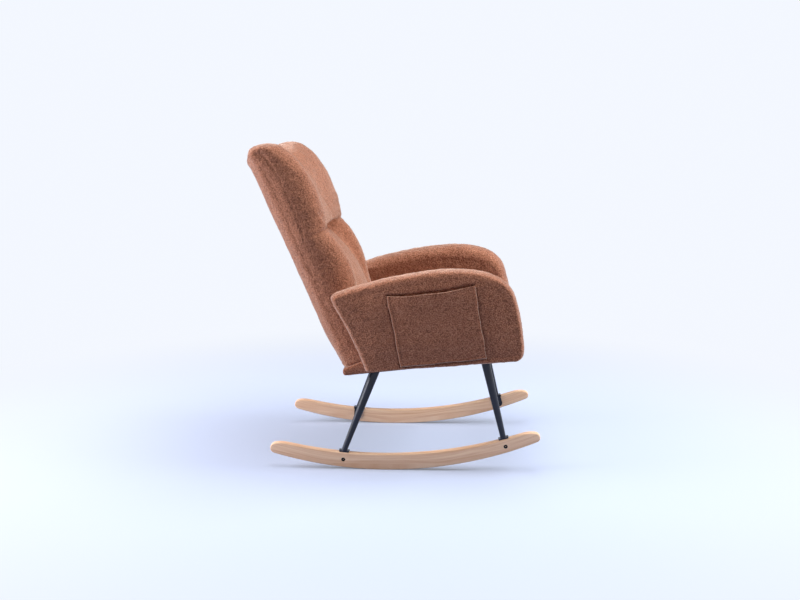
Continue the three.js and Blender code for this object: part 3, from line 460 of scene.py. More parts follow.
@dataclass(frozen=True)
class Stance:
    """Frames of reference of the seat and of the back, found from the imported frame."""

    tilt: float = math.radians(6.5)
    rake: float = math.radians(17.0)
    back_foot: tuple[float, float, float] = (0.0, 0.102, 0.020)
    setback: float = 0.032
    front_reach: float = 0.442
    rear_reach: float = 0.082
    cover_drop: float = 0.0193

    def seat(self) -> Matrix:
        """Matrix of the seat's frame, which stands at the arms' rear lower corner."""
        low, _ = (Vector(corner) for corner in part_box("dust_cover"))
        y = low.y + self.front_reach * math.cos(self.tilt) + self.cover_drop * math.sin(self.tilt)
        z = low.z + self.rear_reach * math.sin(self.tilt) + self.cover_drop * math.cos(self.tilt)
        return Matrix.Translation((0.0, y, z)) @ Matrix.Rotation(-self.tilt, 4, "X")

    def datum(self) -> float:
        """Y of the rockers' middle, where they touch the floor."""
        return self.seat().translation.y - self.setback

    def back(self) -> Matrix:
        """Matrix of the back's frame: Y is depth to the rear, and Z is height up the back."""
        return self.seat() @ Matrix.Translation(self.back_foot) @ Matrix.Rotation(-self.rake, 4, "X")


class NodeKit:
    """Adds nodes and links to a shader tree."""

    def __init__(self, tree: bpy.types.NodeTree) -> None:
        """Takes the tree that is built."""
        self.tree = tree

    @classmethod
    def emptied(cls, owner: bpy.types.Material | bpy.types.World) -> "NodeKit":
        """A kit for the tree of a material or a world, cleared of its nodes.

        Args:
            owner: The material or the world.
        """
        owner.use_nodes = True
        owner.node_tree.nodes.clear()
        return cls(owner.node_tree)

    def link(self, socket: bpy.types.NodeSocket, node: bpy.types.Node, title: str) -> None:
        """Links a socket to an input of a node."""
        self.tree.links.new(socket, node.inputs[title])

    def add(self, kind: str, values: dict | None = None, **settings: object) -> bpy.types.Node:
        """Adds a node.

        Args:
            kind: Blender's name of the node type.
            values: Values or output sockets for its inputs, by their name or number.
            settings: Attributes of the node itself.

        Returns:
            The new node.
        """
        node = self.tree.nodes.new(kind)
        for name, value in settings.items():
            setattr(node, name, value)
        for name, value in (values or {}).items():
            if isinstance(value, bpy.types.NodeSocket):
                self.tree.links.new(value, node.inputs[name])
            else:
                node.inputs[name].default_value = value
        return node

    def math(
        self, operation: str, first: object, second: object = 0.0, clamp: bool = False
    ) -> bpy.types.NodeSocket:
        """Result of one sum on two numbers or sockets."""
        values = {0: first, 1: second}
        return self.add("ShaderNodeMath", values, operation=operation, use_clamp=clamp).outputs[0]

    def ramp(
        self, share: bpy.types.NodeSocket, stops: Sequence[tuple[float, Colour]]
    ) -> bpy.types.NodeSocket:
        """A colour that follows a share.

        Args:
            share: The share, from 0 to 1.
            stops: Rows of place and colour in sRGB shares.

        Returns:
            The colour socket.
        """
        node = self.add("ShaderNodeValToRGB", {"Fac": share})
        ramp = node.color_ramp
        for spare in list(ramp.elements)[1:]:
            ramp.elements.remove(spare)
        for index, (place, colour) in enumerate(stops):
            stop = ramp.elements[0] if index == 0 else ramp.elements.new(place)
            stop.position = place
            stop.color = (*linear(colour), 1.0)
        return node.outputs["Color"]

    def bump(
        self, height: bpy.types.NodeSocket, distance: float, strength: float = 1.0
    ) -> bpy.types.NodeSocket:
        """A normal that follows a height, which a distance in metres scales."""
        values = {"Height": height, "Distance": distance, "Strength": strength}
        return self.add("ShaderNodeBump", values).outputs["Normal"]

    def about_half(self, value: bpy.types.NodeSocket, share: float) -> bpy.types.NodeSocket:
        """A value that lies about a half, moved to lie about 0 and scaled by a share."""
        return self.math("MULTIPLY", self.math("SUBTRACT", value, 0.5), share)

    def group(self, tree: bpy.types.NodeTree, **values: object) -> bpy.types.Node:
        """Adds a node group, at the object's own coordinates unless it gets others.

        Args:
            tree: The group.
            values: Values for its inputs, with underscores for spaces.

        Returns:
            The group's node.
        """
        named = {title.replace("_", " "): value for title, value in values.items()}
        if "Vector" not in named:
            named["Vector"] = self.add("ShaderNodeTexCoord").outputs["Object"]
        return self.add("ShaderNodeGroup", named, node_tree=tree)


def linear(colour: Sequence[float]) -> tuple[float, ...]:
    """A colour's linear values from its sRGB values."""
    return tuple(c / 12.92 if c <= 0.04045 else ((c + 0.055) / 1.055) ** 2.4 for c in colour)


def new_group(name: str, inputs: dict[str, tuple[str, object]], outputs: dict[str, str]) -> tuple:
    """Starts a shader node group.

    Args:
        name: Its name.
        inputs: Socket type and default value, by the input's name.
        outputs: Socket type, by the output's name.

    Returns:
        The group, its node kit, its input node and its output node.
    """
    group = bpy.data.node_groups.new(name, "ShaderNodeTree")
    for title, (kind, value) in inputs.items():
        socket = group.interface.new_socket(title, in_out="INPUT", socket_type=kind)
        if value is not None:
            socket.default_value = value
    for title, kind in outputs.items():
        group.interface.new_socket(title, in_out="OUTPUT", socket_type=kind)
    kit = NodeKit(group)
    return group, kit, kit.add("NodeGroupInput"), kit.add("NodeGroupOutput")


class Effects:
    """Shader node groups that more than one finish uses, each built once."""

    FLOAT = "NodeSocketFloat"
    VECTOR = "NodeSocketVector"

    def __init__(self) -> None:
        """Builds the groups."""
        self.mottle = self._mottle()
        self.curls = self._curls()
        self.grain = self._grain()

    def _mottle(self) -> bpy.types.NodeTree:
        """Soft uneven patches, from 0 to 1 about a half."""
        inputs = {"Vector": (self.VECTOR, None), "Scale": (self.FLOAT, 10.0)}
        group, kit, start, end = new_group("mottle", inputs, {"Value": self.FLOAT})
        values = {"Vector": start.outputs["Vector"], "Scale": start.outputs["Scale"], "Detail": 2.0}
        noise = kit.add("ShaderNodeTexNoise", values)
        kit.link(noise.outputs["Fac"], end, "Value")
        return group

    def _curls(self) -> bpy.types.NodeTree:
        """Curls of a teddy pile: their height, and a tone for each curl."""
        inputs = {"Vector": (self.VECTOR, None), "Curl Scale": (self.FLOAT, 200.0)}
        outputs = {"Height": self.FLOAT, "Tone": self.FLOAT}
        group, kit, start, end = new_group("teddy_curls", inputs, outputs)
        place, scale = start.outputs["Vector"], start.outputs["Curl Scale"]
        moved = self._stirred(kit, place, 160.0, 0.004)
        values = {"Vector": moved, "Scale": scale, "Smoothness": 0.35}
        curl = kit.add("ShaderNodeTexVoronoi", values, feature="SMOOTH_F1")
        round_top = kit.math("SUBTRACT", 1.0, kit.math("MULTIPLY", curl.outputs["Distance"], 1.25))
        values = {"Vector": place, "Scale": 900.0, "Detail": 3.0, "Roughness": 0.6}
        fibre = kit.add("ShaderNodeTexNoise", values)
        fluff = kit.about_half(fibre.outputs["Fac"], 0.7)
        split = kit.add("ShaderNodeSeparateColor", {"Color": curl.outputs["Color"]})
        kit.link(kit.math("ADD", round_top, fluff, clamp=True), end, "Height")
        kit.link(split.outputs[0], end, "Tone")
        return group

    @staticmethod
    def _stirred(
        kit: NodeKit, place: bpy.types.NodeSocket, scale: float, reach: float
    ) -> bpy.types.NodeSocket:
        """Coordinates moved about by noise.

        Args:
            kit: Kit of the tree that gets the nodes.
            place: The coordinates.
            scale: How fine the noise is.
            reach: How far it moves them.

        Returns:
            The moved coordinates.
        """
        noise = kit.add("ShaderNodeTexNoise", {"Vector": place, "Scale": scale, "Detail": 1.0})
        values = {0: noise.outputs["Color"], 1: (0.5, 0.5, 0.5)}
        centred = kit.add("ShaderNodeVectorMath", values, operation="SUBTRACT").outputs[0]
        values = {0: centred, "Scale": reach}
        shift = kit.add("ShaderNodeVectorMath", values, operation="SCALE").outputs[0]
        return kit.add("ShaderNodeVectorMath", {0: place, 1: shift}, operation="ADD").outputs[0]

    def _grain(self) -> bpy.types.NodeTree:
        """Lengthwise wood grain: a tone and a pore height. The first axis runs along the grain."""
        inputs = {"Vector": (self.VECTOR, None), "Across": (self.FLOAT, 90.0)}
        outputs = {"Tone": self.FLOAT, "Pores": self.FLOAT}
        group, kit, start, end = new_group("wood_grain", inputs, outputs)
        parts = kit.add("ShaderNodeSeparateXYZ", {"Vector": start.outputs["Vector"]})

        def stretched(along: float, across: float, detail: float) -> bpy.types.NodeSocket:
            """Noise drawn out along the grain.

            Args:
                along: How fine it is along the grain.
                across: How fine it is across, as a share of the group's own value.
                detail: How many finer layers it has.

            Returns:
                The noise, about a half.
            """
            long = kit.math("MULTIPLY", parts.outputs[0], along)
            wide = kit.math("MULTIPLY", start.outputs["Across"], across)
            up = kit.math("MULTIPLY", parts.outputs[2], wide)
            deep = kit.math("MULTIPLY", parts.outputs[1], wide)
            place = kit.add("ShaderNodeCombineXYZ", {0: long, 1: deep, 2: up}).outputs[0]
            values = {"Vector": place, "Scale": 1.0, "Detail": detail}
            return kit.add("ShaderNodeTexNoise", values).outputs["Fac"]

        broad = kit.math("MULTIPLY", stretched(3.0, 1.0, 3.0), 0.6)
        fine = kit.math("MULTIPLY", stretched(12.0, 6.0, 3.0), 0.4)
        kit.link(kit.math("ADD", broad, fine), end, "Tone")
        kit.link(stretched(36.0, 14.0, 1.0), end, "Pores")
        return group


def new_material(name: str, **shader: object) -> tuple[bpy.types.Material, NodeKit, bpy.types.Node]:
    """Starts a material of one Principled shader.

    Args:
        name: Its name.
        shader: Values for the shader's sockets, with underscores for spaces.

    Returns:
        The material, its node kit and its shader node.
    """
    material = bpy.data.materials.new(name)
    kit = NodeKit.emptied(material)
    output = kit.add("ShaderNodeOutputMaterial")
    values = {socket.replace("_", " "): value for socket, value in shader.items()}
    principled = kit.add("ShaderNodeBsdfPrincipled", values)
    kit.link(principled.outputs[0], output, "Surface")
    return material, kit, principled


@dataclass(frozen=True)
class TeddyFabric:
    """Curly teddy pile, rust brown, with painted shade in the gaps between curls and a painted highlight
    on their tops.
    """

    # The gap colour is painted shade between the curls, and the tip colour is a painted highlight on
    # their tops.
    gap: Colour = (0.45, 0.275, 0.20)
    body: Colour = (0.655, 0.43, 0.33)
    tip: Colour = (0.79, 0.56, 0.45)
    sheen: Colour = (1.0, 0.92, 0.87)
    curl_scale: float = 350.0
    patch_scale: float = 14.0
    pile: float = 0.0008
    relief_shade_share: float = 0.95
    tone_share: float = 0.19
    patch_share: float = 0.16

    def material(self, effects: Effects) -> bpy.types.Material:
        """The material.

        Args:
            effects: The shared node groups.

        Returns:
            A new material.
        """
        material, kit, shader = new_material(
            "teddy_fabric", Roughness=0.95, Sheen_Weight=0.75, Sheen_Roughness=0.4,
            Sheen_Tint=(*linear(self.sheen), 1.0), Specular_IOR_Level=0.2,
        )
        curls = kit.group(effects.curls, Curl_Scale=self.curl_scale)
        mottle = kit.group(effects.mottle, Scale=self.patch_scale)
        height = curls.outputs["Height"]
        tone = kit.about_half(curls.outputs["Tone"], self.tone_share)
        patch = kit.about_half(mottle.outputs["Value"], self.patch_share)
        # Curl height sets the colour: painted shade in the gaps and a painted highlight on the tops;
        # tone and patch vary at random.
        share = kit.math("ADD", kit.math("MULTIPLY", height, self.relief_shade_share), tone)
        share = kit.math("ADD", share, patch, clamp=True)
        colour = kit.ramp(share, ((0.12, self.gap), (0.5, self.body), (0.95, self.tip)))
        kit.link(colour, shader, "Base Color")
        kit.link(kit.bump(height, self.pile), shader, "Normal")
        return material


class GrainSource(Enum):
    """What a wood's grain follows."""

    ATTRIBUTE = "grain"
    OBJECT = "object"


@dataclass(frozen=True)
class Wood:
    """Timber with a lengthwise grain."""

    name: str
    pale: Colour
    dark: Colour
    source: GrainSource
    roughness: float = 0.5
    rough_swing: float = 0.2
    across: float = 85.0
    pore_depth: float = 0.0003
    pore_strength: float = 0.6

    def material(self, effects: Effects) -> bpy.types.Material:
        """The material.

        Args:
            effects: The shared node groups.

        Returns:
            A new material.
        """
        material, kit, shader = new_material(self.name, Specular_IOR_Level=0.4)
        values = {"Across": self.across}
        if self.source is GrainSource.ATTRIBUTE:
            place = kit.add("ShaderNodeAttribute", attribute_name=self.source.value)
            values["Vector"] = place.outputs["Vector"]
        grain = kit.group(effects.grain, **values)
        colour = kit.ramp(grain.outputs["Tone"], ((0.37, self.dark), (0.61, self.pale)))
        kit.link(colour, shader, "Base Color")
        pores = grain.outputs["Pores"]
        uneven = kit.math("MULTIPLY", pores, self.rough_swing)
        rough = kit.math("ADD", uneven, self.roughness - self.rough_swing / 2)
        kit.link(rough, shader, "Roughness")
        normal = kit.bump(pores, self.pore_depth, self.pore_strength)
        kit.link(normal, shader, "Normal")
        return material


@dataclass(frozen=True)
class Metal:
    """A coated or plated steel with a faint orange peel."""

    name: str
    colour: Colour
    metallic: float
    roughness: float
    rough_swing: float = 0.16
    patch_scale: float = 22.0
    patch_shares: Pair = (0.82, 1.15)
    peel_scale: float = 420.0
    peel: float = 0.00012

    def material(self, effects: Effects) -> bpy.types.Material:
        """The material.

        Args:
            effects: The shared node groups.

        Returns:
            A new material.
        """
        material, kit, shader = new_material(self.name, Metallic=self.metallic)
        mottle = kit.group(effects.mottle, Scale=self.patch_scale).outputs["Value"]
        peel = kit.group(effects.mottle, Scale=self.peel_scale).outputs["Value"]
        dark, pale = (tuple(c * share for c in self.colour) for share in self.patch_shares)
        kit.link(kit.ramp(mottle, ((0.3, dark), (0.7, pale))), shader, "Base Color")
        uneven = kit.math("MULTIPLY", mottle, self.rough_swing)
        rough = kit.math("ADD", uneven, self.roughness - self.rough_swing / 2)
        kit.link(rough, shader, "Roughness")
        kit.link(kit.bump(peel, self.peel, 0.5), shader, "Normal")
        return material


@dataclass(frozen=True)
class WovenCloth:
    """A plain woven or bonded cloth, such as webbing or a dust cover."""

    name: str
    colour: Colour
    thread: float
    thread_depth: float = 0.0003
    patch_scale: float = 60.0
    patch_share: float = 0.6
    shade_shares: Pair = (0.7, 1.1)

    def material(self, effects: Effects) -> bpy.types.Material:
        """The material.

        Args:
            effects: The shared node groups.

        Returns:
            A new material.
        """
        material, kit, shader = new_material(self.name, Roughness=0.9, Sheen_Weight=0.2)
        place = kit.add("ShaderNodeTexCoord").outputs["Object"]
        parts = kit.add("ShaderNodeSeparateXYZ", {"Vector": place})
        turn = math.tau / self.thread
        waves = [kit.math("SINE", kit.math("MULTIPLY", part, turn)) for part in parts.outputs]
        weave = kit.math("MULTIPLY", waves[0], kit.math("ADD", waves[1], waves[2]))
        height = kit.math("ADD", kit.math("MULTIPLY", weave, 0.25), 0.5, clamp=True)
        mottle = kit.group(effects.mottle, Scale=self.patch_scale).outputs["Value"]
        threads = kit.math("MULTIPLY", height, 1 - self.patch_share)
        mixed = kit.math("ADD", threads, kit.math("MULTIPLY", mottle, self.patch_share))
        dark, pale = (tuple(c * share for c in self.colour) for share in self.shade_shares)
        kit.link(kit.ramp(mixed, ((0.25, dark), (0.75, pale))), shader, "Base Color")
        kit.link(kit.bump(height, self.thread_depth), shader, "Normal")
        return material


class Finishes:
    """Every finish of the chair as a material, by the record's slot."""

    def __init__(self) -> None:
        """Builds the materials."""
        effects = Effects()
        finishes = (
            Wood("beech", (1.0, 0.85, 0.72), (0.91, 0.71, 0.555), GrainSource.ATTRIBUTE, across=140.0),
            Wood("softwood", (0.82, 0.70, 0.50), (0.68, 0.53, 0.34), GrainSource.OBJECT, 0.75),
            Metal("black_steel", (0.055, 0.085, 0.16), 0.25, 0.36),
            Metal("zinc_steel", (0.12, 0.12, 0.13), 0.9, 0.38),
            Metal("spring_steel", (0.45, 0.46, 0.48), 1.0, 0.35),
            WovenCloth("webbing", (0.86, 0.84, 0.80), 0.0024),
            WovenCloth("dust_cloth", (0.13, 0.13, 0.135), 0.0012),
        )
        self.by_slot = {"teddy_fabric": TeddyFabric().material(effects)}
        self.by_slot.update({finish.name: finish.material(effects) for finish in finishes})

    def dress(self, thing: bpy.types.Object, slot: str) -> None:
        """Gives an object one finish.

        Args:
            thing: The object.
            slot: The record's slot of the finish.
        """
        thing.data.materials.clear()
        thing.data.materials.append(self.by_slot[slot])


def seat_on(thing: bpy.types.Object, finishes: Finishes, slot: str, *nodes: str) -> bpy.types.Object:
    """Finishes a piece: its material, the body that it rides on and the nodes that it stands for.

    Args:
        thing: The piece.
        finishes: The chair's finishes.
        slot: The record's slot of its finish.
        nodes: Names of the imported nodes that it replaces.

    Returns:
        The same piece.
    """
    finishes.dress(thing, slot)
    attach(thing, BODY)
    if nodes:
        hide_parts(*nodes)
    LOG.info("%s: %d vertices", thing.name, len(thing.data.vertices))
    return thing


def curve_of(points: Sequence[Pair], steps: int) -> list[Pair]:
    """Points of a Bezier curve, without its first one.

    Args:
        points: Its control points, with the ends.
        steps: How many points.

    Returns:
        The points.
    """
    made = []
    for step in range(1, steps + 1):
        t = step / steps
        row = [np.array(p, float) for p in points]
        while len(row) > 1:
            row = [a + (b - a) * t for a, b in zip(row, row[1:])]
        made.append(tuple(row[0]))
    return made


def arc_of(centre: Pair, radius: float, start: float, end: float, steps: int) -> list[Pair]:
    """Points of an arc.

    Args:
        centre: Its middle.
        radius: Its radius.
        start: First angle.
        end: Last angle.
        steps: How many steps it has.

    Returns:
        The points, both ends included.
    """
    angles = np.linspace(start, end, steps + 1)
    return [(centre[0] + radius * math.cos(a), centre[1] + radius * math.sin(a)) for a in angles]


def evenly(outline: Sequence[Pair], spacing: float) -> np.ndarray:
    """A closed outline walked again in even steps.

    Args:
        outline: Its corners.
        spacing: About how long a step is.

    Returns:
        Its points as rows.
    """
    closed = np.array(list(outline) + [outline[0]], float)
    far = np.concatenate([[0], np.cumsum(np.linalg.norm(np.diff(closed, axis=0), axis=1))])
    places = np.linspace(0, far[-1], round(far[-1] / spacing), endpoint=False)
    return np.column_stack([np.interp(places, far, closed[:, axis]) for axis in (0, 1)])


def drawn_in(outline: np.ndarray, inset: np.ndarray | float) -> np.ndarray:
    """An anticlockwise outline moved inwards.

    Args:
        outline: Its points as rows.
        inset: How far, for all points or for each.

    Returns:
        The new points.
    """
    along = np.roll(outline, -1, axis=0) - np.roll(outline, 1, axis=0)
    along /= np.linalg.norm(along, axis=1, keepdims=True)
    inward = np.column_stack([-along[:, 1], along[:, 0]])
    return outline + inward * np.broadcast_to(inset, len(outline))[:, None]


def distance_to(outline: np.ndarray, places: np.ndarray) -> np.ndarray:
    """Least distance from places to a closed outline.

    Args:
        outline: Its points as rows.
        places: Places as rows.

    Returns:
        One distance for each place.
    """
    tree = KDTree(len(outline))
    for index, (a, b) in enumerate(outline):
        tree.insert((a, b, 0.0), index)
    tree.balance()
    nearest = np.array([tree.find((a, b, 0.0))[1] for a, b in places])
    best = np.full(len(places), np.inf)
    for shift in (-1, 0):
        start = outline[(nearest + shift) % len(outline)]
        end = outline[(nearest + shift + 1) % len(outline)]
        way = end - start
        share = np.clip(((places - start) * way).sum(1) / np.maximum((way**2).sum(1), TINY**2), 0, 1)
        best = np.minimum(best, np.linalg.norm(start + way * share[:, None] - places, axis=1))
    return best


def bridged(rings: Sequence[np.ndarray], capped: bool = True) -> bmesh.types.BMesh:
    """A skin over closed rings of equally many points.

    Args:
        rings: The rings, as rows of three numbers.
        capped: Whether the first and the last ring are closed by a face.

    Returns:
        The skin.
    """
    shape = bmesh.new()
    loops = []
    for ring in rings:
        verts = [shape.verts.new(point) for point in ring]
        loops.append([shape.edges.new(pair) for pair in zip(verts, verts[1:] + verts[:1])])
        if capped and len(loops) in (1, len(rings)):
            shape.faces.new(verts)
    for lower, upper in zip(loops, loops[1:]):
        bmesh.ops.bridge_loops(shape, edges=lower + upper)
    bmesh.ops.recalc_face_normals(shape, faces=shape.faces)
    return shape


def press_in(thing: bpy.types.Object, depth: np.ndarray) -> None:
    """Moves an object's vertices in along their normals, each by its own depth."""
    points = read_points(thing.data)
    write_points(thing.data, points - read_normals(thing.data) * depth[:, None])


def groove(distance: np.ndarray, depth: float, width: float) -> np.ndarray:
    """Depth of a soft groove at distances from its middle line."""
    return depth * np.exp(-((distance / width) ** 2))


@dataclass(frozen=True)
class Pile:
    """The teddy curls on every upholstered skin, and the soft lumps of the filling under it."""

    curl: float = 0.0052
    height: float = 0.0018
    curl_level: float = 0.45
    clump: float = 0.0208
    lump: float = 0.06
    lump_height: float = 0.004

    def raise_lumps(self, thing: bpy.types.Object, share: float = 1.0) -> None:
        """Makes a skin softly uneven, as a hand-filled cover is, by a share of the full height."""
        self._displace(thing, "CLOUDS", self.lump, share * self.lump_height)

    def raise_curls(self, thing: bpy.types.Object, share: float = 1.0) -> None:
        """Raises curls and clumps of curls on a skin, whose cells are about half a curl wide.

        Args:
            thing: The skin's object.
            share: Share of the full height.
        """
        self._displace(thing, "VORONOI", self.curl, -share * self.height, self.curl_level)
        self._displace(thing, "CLOUDS", self.clump, share * self.height)

    @staticmethod
    def _displace(
        thing: bpy.types.Object, kind: str, size: float, height: float, level: float = 0.5
    ) -> None:
        """Displaces an object's skin by a texture.

        Args:
            thing: The object.
            kind: Blender's name of the texture's type.
            size: How wide its waves or cells are.
            height: How far it moves the skin.
            level: The texture's value that moves nothing.
        """
        texture = bpy.data.textures.new("relief", kind)
        texture.noise_scale = size
        modifier = thing.modifiers.new("relief", "DISPLACE")
        modifier.texture = texture
        modifier.texture_coords = "LOCAL"
        modifier.strength = height
        modifier.mid_level = level
        bake_modifiers(thing)


PILE = Pile()


def finish_skin(thing: bpy.types.Object, frame: Matrix, share: float = 1.0) -> None:
    """Places an upholstered skin in the chair, raises its pile and shades it.

    Args:
        thing: The skin, in its own frame.
        frame: That frame's matrix.
        share: Share of the pile's full height.
    """
    write_points(thing.data, placed(read_points(thing.data), frame))
    PILE.raise_curls(thing, share)
    shade(thing)


@dataclass(frozen=True)
class Filling:
    """Blows a closed cover up between its seams, as its filling does, by a cloth simulation."""

    voxel: float = 0.006
    slack: float = 0.003
    reach: float = 0.007
    pressure: float = 4.0
    frames: int = 20
    least_grip: float = 0.02

    def swell(self, cover: bpy.types.Object, held: Callable[[np.ndarray], np.ndarray]) -> None:
        """Gives a cover an even mesh and the shape that its filling blows it up to.

        The cover starts smaller by its slack, and no point moves further than the reach, so it ends
        about where it was drawn.

        Args:
            cover: The closed cover.
            held: Gives how firmly the frame holds each of some points, from 0 to 1.
        """
        remesh(cover, self.voxel)
        drawn = read_points(cover.data)
        grip = np.clip(held(drawn), 0, 1)
        start = drawn - read_normals(cover.data) * (self.slack * (1 - grip))[:, None]
        cloth = add_object("filling", cover.data.copy())
        write_points(cloth.data, start)
        moved = self._simulated(cloth, grip) - start
        length = np.maximum(np.linalg.norm(moved, axis=1), TINY)
        share = self.reach * np.tanh(length / self.reach) / length
        write_points(cover.data, start + moved * share[:, None])
        LOG.info("%s swells by %.1f mm", cover.name, 1000 * float((length * share).max()))

    def _simulated(self, cloth: bpy.types.Object, grip: np.ndarray) -> np.ndarray:
        """Where the points of a cover come to rest.

        Args:
            cloth: The shrunk cover, which is used up.
            grip: How firmly each point is held.

        Returns:
            The points as rows.
        """
        group = cloth.vertex_groups.new(name="held")
        for index in np.nonzero(grip > self.least_grip)[0]:
            group.add([int(index)], float(grip[index]), "REPLACE")
        modifier = cloth.modifiers.new("cloth", "CLOTH")
        modifier.settings.vertex_group_mass = group.name
        modifier.settings.use_pressure = True
        modifier.settings.uniform_pressure_force = self.pressure
        modifier.settings.effector_weights.gravity = 0.0
        modifier.point_cache.frame_start = 1
        modifier.point_cache.frame_end = self.frames
        scene = bpy.context.scene
        for frame in range(1, self.frames + 1):
            scene.frame_set(frame)
        bake_modifiers(cloth)
        points = read_points(cloth.data)
        bpy.data.objects.remove(cloth)
        scene.frame_set(1)
        return points


@dataclass
class WingBack:
    """The upholstered back: two lobes between wings in one teddy skin, with a panel behind.

    Its own frame has X across, Y as depth to the rear of the datum plane, and Z as height up the
    back. A span is a pair of places between which something eases in or out.
    """

    width: float = 0.494
    foot: float = -0.035
    top: float = 0.693
    crease: float = 0.379
    cell: float = 0.0062
    box_depth: float = 0.14
    side_round: float = 0.045
    front_side_round: float = 0.052
    rear_round: float = 0.030
    top_round: float = 0.030
    rear_top_round: float = 0.006
    foot_round: float = 0.014
    wing_spread: float = 0.008
    crown_dip: float = 0.032
    rear_swell: float = 0.023
    groove_depth: float = 0.012
    groove_width: float = 0.0055
    wing_groove_share: float = 0.35
    side_seam_share: float = 0.47
    side_depth: float = 0.0012
    side_width: float = 0.0045
    panel_depth: float = 0.0015
    panel_width: float = 0.0028
    panel_inset: float = 0.026
    panel_drop: float = 0.04
    hold_width: float = 0.012
    valley: float = 0.1375
    valley_depth: float = 0.006
    valley_width: float = 0.014
    lower_crown: float = 0.014
    crown_reach: float = 0.12
    dish_span: Pair = (0.04, 0.215)
    wing_span: Pair = (0.115, 0.175)
    valley_span: Pair = (0.375, 0.31)
    swell_top: float = 0.10
    spread_span: Pair = (0.26, 0.42)
    dip_foot: float = 0.46
    slant_span: Pair = (0.56, 0.683)
    stile_span: Pair = (0.18, 0.21)
    foot_span: Pair = (0.03, -0.02)
    crease_span: Pair = (0.10, 0.20)
    seam_span: Pair = (0.28, 0.42)
    upper_wing: Profile = Profile((
        (0.379, 0.128), (0.386, 0.133), (0.400, 0.139), (0.423, 0.144), (0.455, 0.149), (0.497, 0.150),
        (0.546, 0.148), (0.588, 0.141), (0.619, 0.131), (0.650, 0.114), (0.675, 0.095), (0.693, 0.078),
    ))
    lower_wing: Profile = Profile((
        (-0.026, 0.126), (0.06, 0.130), (0.129, 0.134), (0.152, 0.136), (0.177, 0.140), (0.211, 0.147),
        (0.235, 0.150), (0.261, 0.152), (0.297, 0.150), (0.339, 0.144), (0.365, 0.135), (0.379, 0.127),
    ))
    upper_dish: Profile = Profile((
        (0.379, 0.018), (0.40, 0.026), (0.44, 0.034), (0.50, 0.039), (0.60, 0.037), (0.65, 0.028),
        (0.684, 0.018),
    ))
    lower_middle: Profile = Profile((
        (-0.026, 0.130), (0.06, 0.137), (0.166, 0.142), (0.218, 0.142), (0.262, 0.136), (0.300, 0.128),
        (0.340, 0.113), (0.360, 0.101), (0.379, 0.090),
    ))
    side_taper: Profile = Profile((
        (0.0, 0.89), (0.08, 0.915), (0.15, 0.942), (0.25, 0.963), (0.36, 0.983), (0.45, 0.996),
        (0.52, 1.003), (0.6, 1.007), (0.7, 1.008), (0.8, 1.005), (0.9, 1.0), (1.0, 0.997),
    ))
    rear_slant: Profile = Profile((
        (0.0, 0.030), (0.1, 0.024), (0.2, 0.015), (0.3, 0.0075), (0.4, 0.002), (0.48, 0.0), (1.0, 0.0),
    ))
    dip_across: Profile = Profile((
        (0.0, 1.0), (0.059, 0.88), (0.114, 0.55), (0.153, 0.22), (0.183, 0.05), (0.21, 0.0),
    ))
    filling: Filling = Filling(voxel=0.0066, slack=0.003, reach=0.006)
    fill: float = 0.75

    def _front(self, x: np.ndarray, s: np.ndarray) -> np.ndarray:
        """How far the front stands before the datum plane.

        Args:
            x: Places across.
            s: Heights up the back.

        Returns:
            One depth for each place.
        """
        side = np.abs(x)
        dish = self.upper_dish.at(s) * (1 - smooth_step(*self.dish_span, side))
        upper = self.upper_wing.at(s) - dish
        wing = self.lower_wing.at(s)
        crown = self.lower_crown * np.clip(side / self.crown_reach, 0, 1) ** 2
        middle = self.lower_middle.at(s) - crown
        lower = middle + (wing - middle) * smooth_step(*self.wing_span, side)
        fade = smooth_step(*self.valley_span, s)
        lower -= fade * groove(side - self.valley, self.valley_depth, self.valley_width)
        return np.where(s > self.crease, upper, lower)

    def _shape(self, points: np.ndarray) -> np.ndarray:
        """Warps points of the plain box to the back's own frame.

        Args:
            points: Points of the grid box as rows.

        Returns:
            The points in the back's frame.
        """
        half = np.array([self.width, self.box_depth, self.top - self.foot]) / 2
        radii = np.tile([self.side_round, half[1], self.top_round], (len(points), 1))
        behind = smooth_step(-0.3, 1.0, points[:, 1] / half[1])
        radii[:, 2] += (self.rear_top_round - self.top_round) * behind
        radii[points[:, 1] > 0, 1] = self.rear_round
        radii[points[:, 1] < 0, 0] = self.front_side_round
        radii[points[:, 2] < 0, 2] = self.foot_round
        x, y, z = rounded(points, half, radii).T
        forward = 0.5 - y / self.box_depth
        s = z + (self.top + self.foot) / 2
        rear = self.rear_swell * (1 - (np.abs(x) / half[0]) ** 4)
        rear *= smooth_step(self.foot, self.swell_top, s)
        depth = rear - forward * (rear + self._front(x, s))
        spread = self.wing_spread * smooth_step(*self.spread_span, s) * smooth_step(0.1, 0.6, forward)
        x = x * self.side_taper.at(forward) + spread * (x / half[0]) * np.abs(x / half[0])
        dip = self.crown_dip * self.dip_across.at(np.abs(x)) * smooth_step(self.dip_foot, self.top, s)
        slant = self.rear_slant.at(forward) * smooth_step(*self.slant_span, s)
        return np.column_stack([x, depth, s - dip - slant])

    def _held(self, points: np.ndarray) -> np.ndarray:
        """How firmly the crease, the rear panel's seam, the stiles and the foot hold the skin.

        Args:
            points: Points of the skin as rows.

        Returns:
            A share for each point.
        """
        x, depth, s = points.T
        forward = np.clip(-depth / self._front(x, s), 0, 1)
        crease = groove(s - self.crease, 1.0, self.hold_width) * smooth_step(0.4, 0.8, forward)
        aside = self.width / 2 - self.panel_inset - np.abs(x)
        edge = np.minimum(aside, self.top - self.panel_drop - s)
        panel = groove(edge, 1.0, self.hold_width) * smooth_step(0.12, 0.0, forward)
        stile = smooth_step(*self.stile_span, np.abs(x)) * smooth_step(0.32, 0.18, forward)
        return np.maximum.reduce([crease, panel, stile, smooth_step(*self.foot_span, s)])

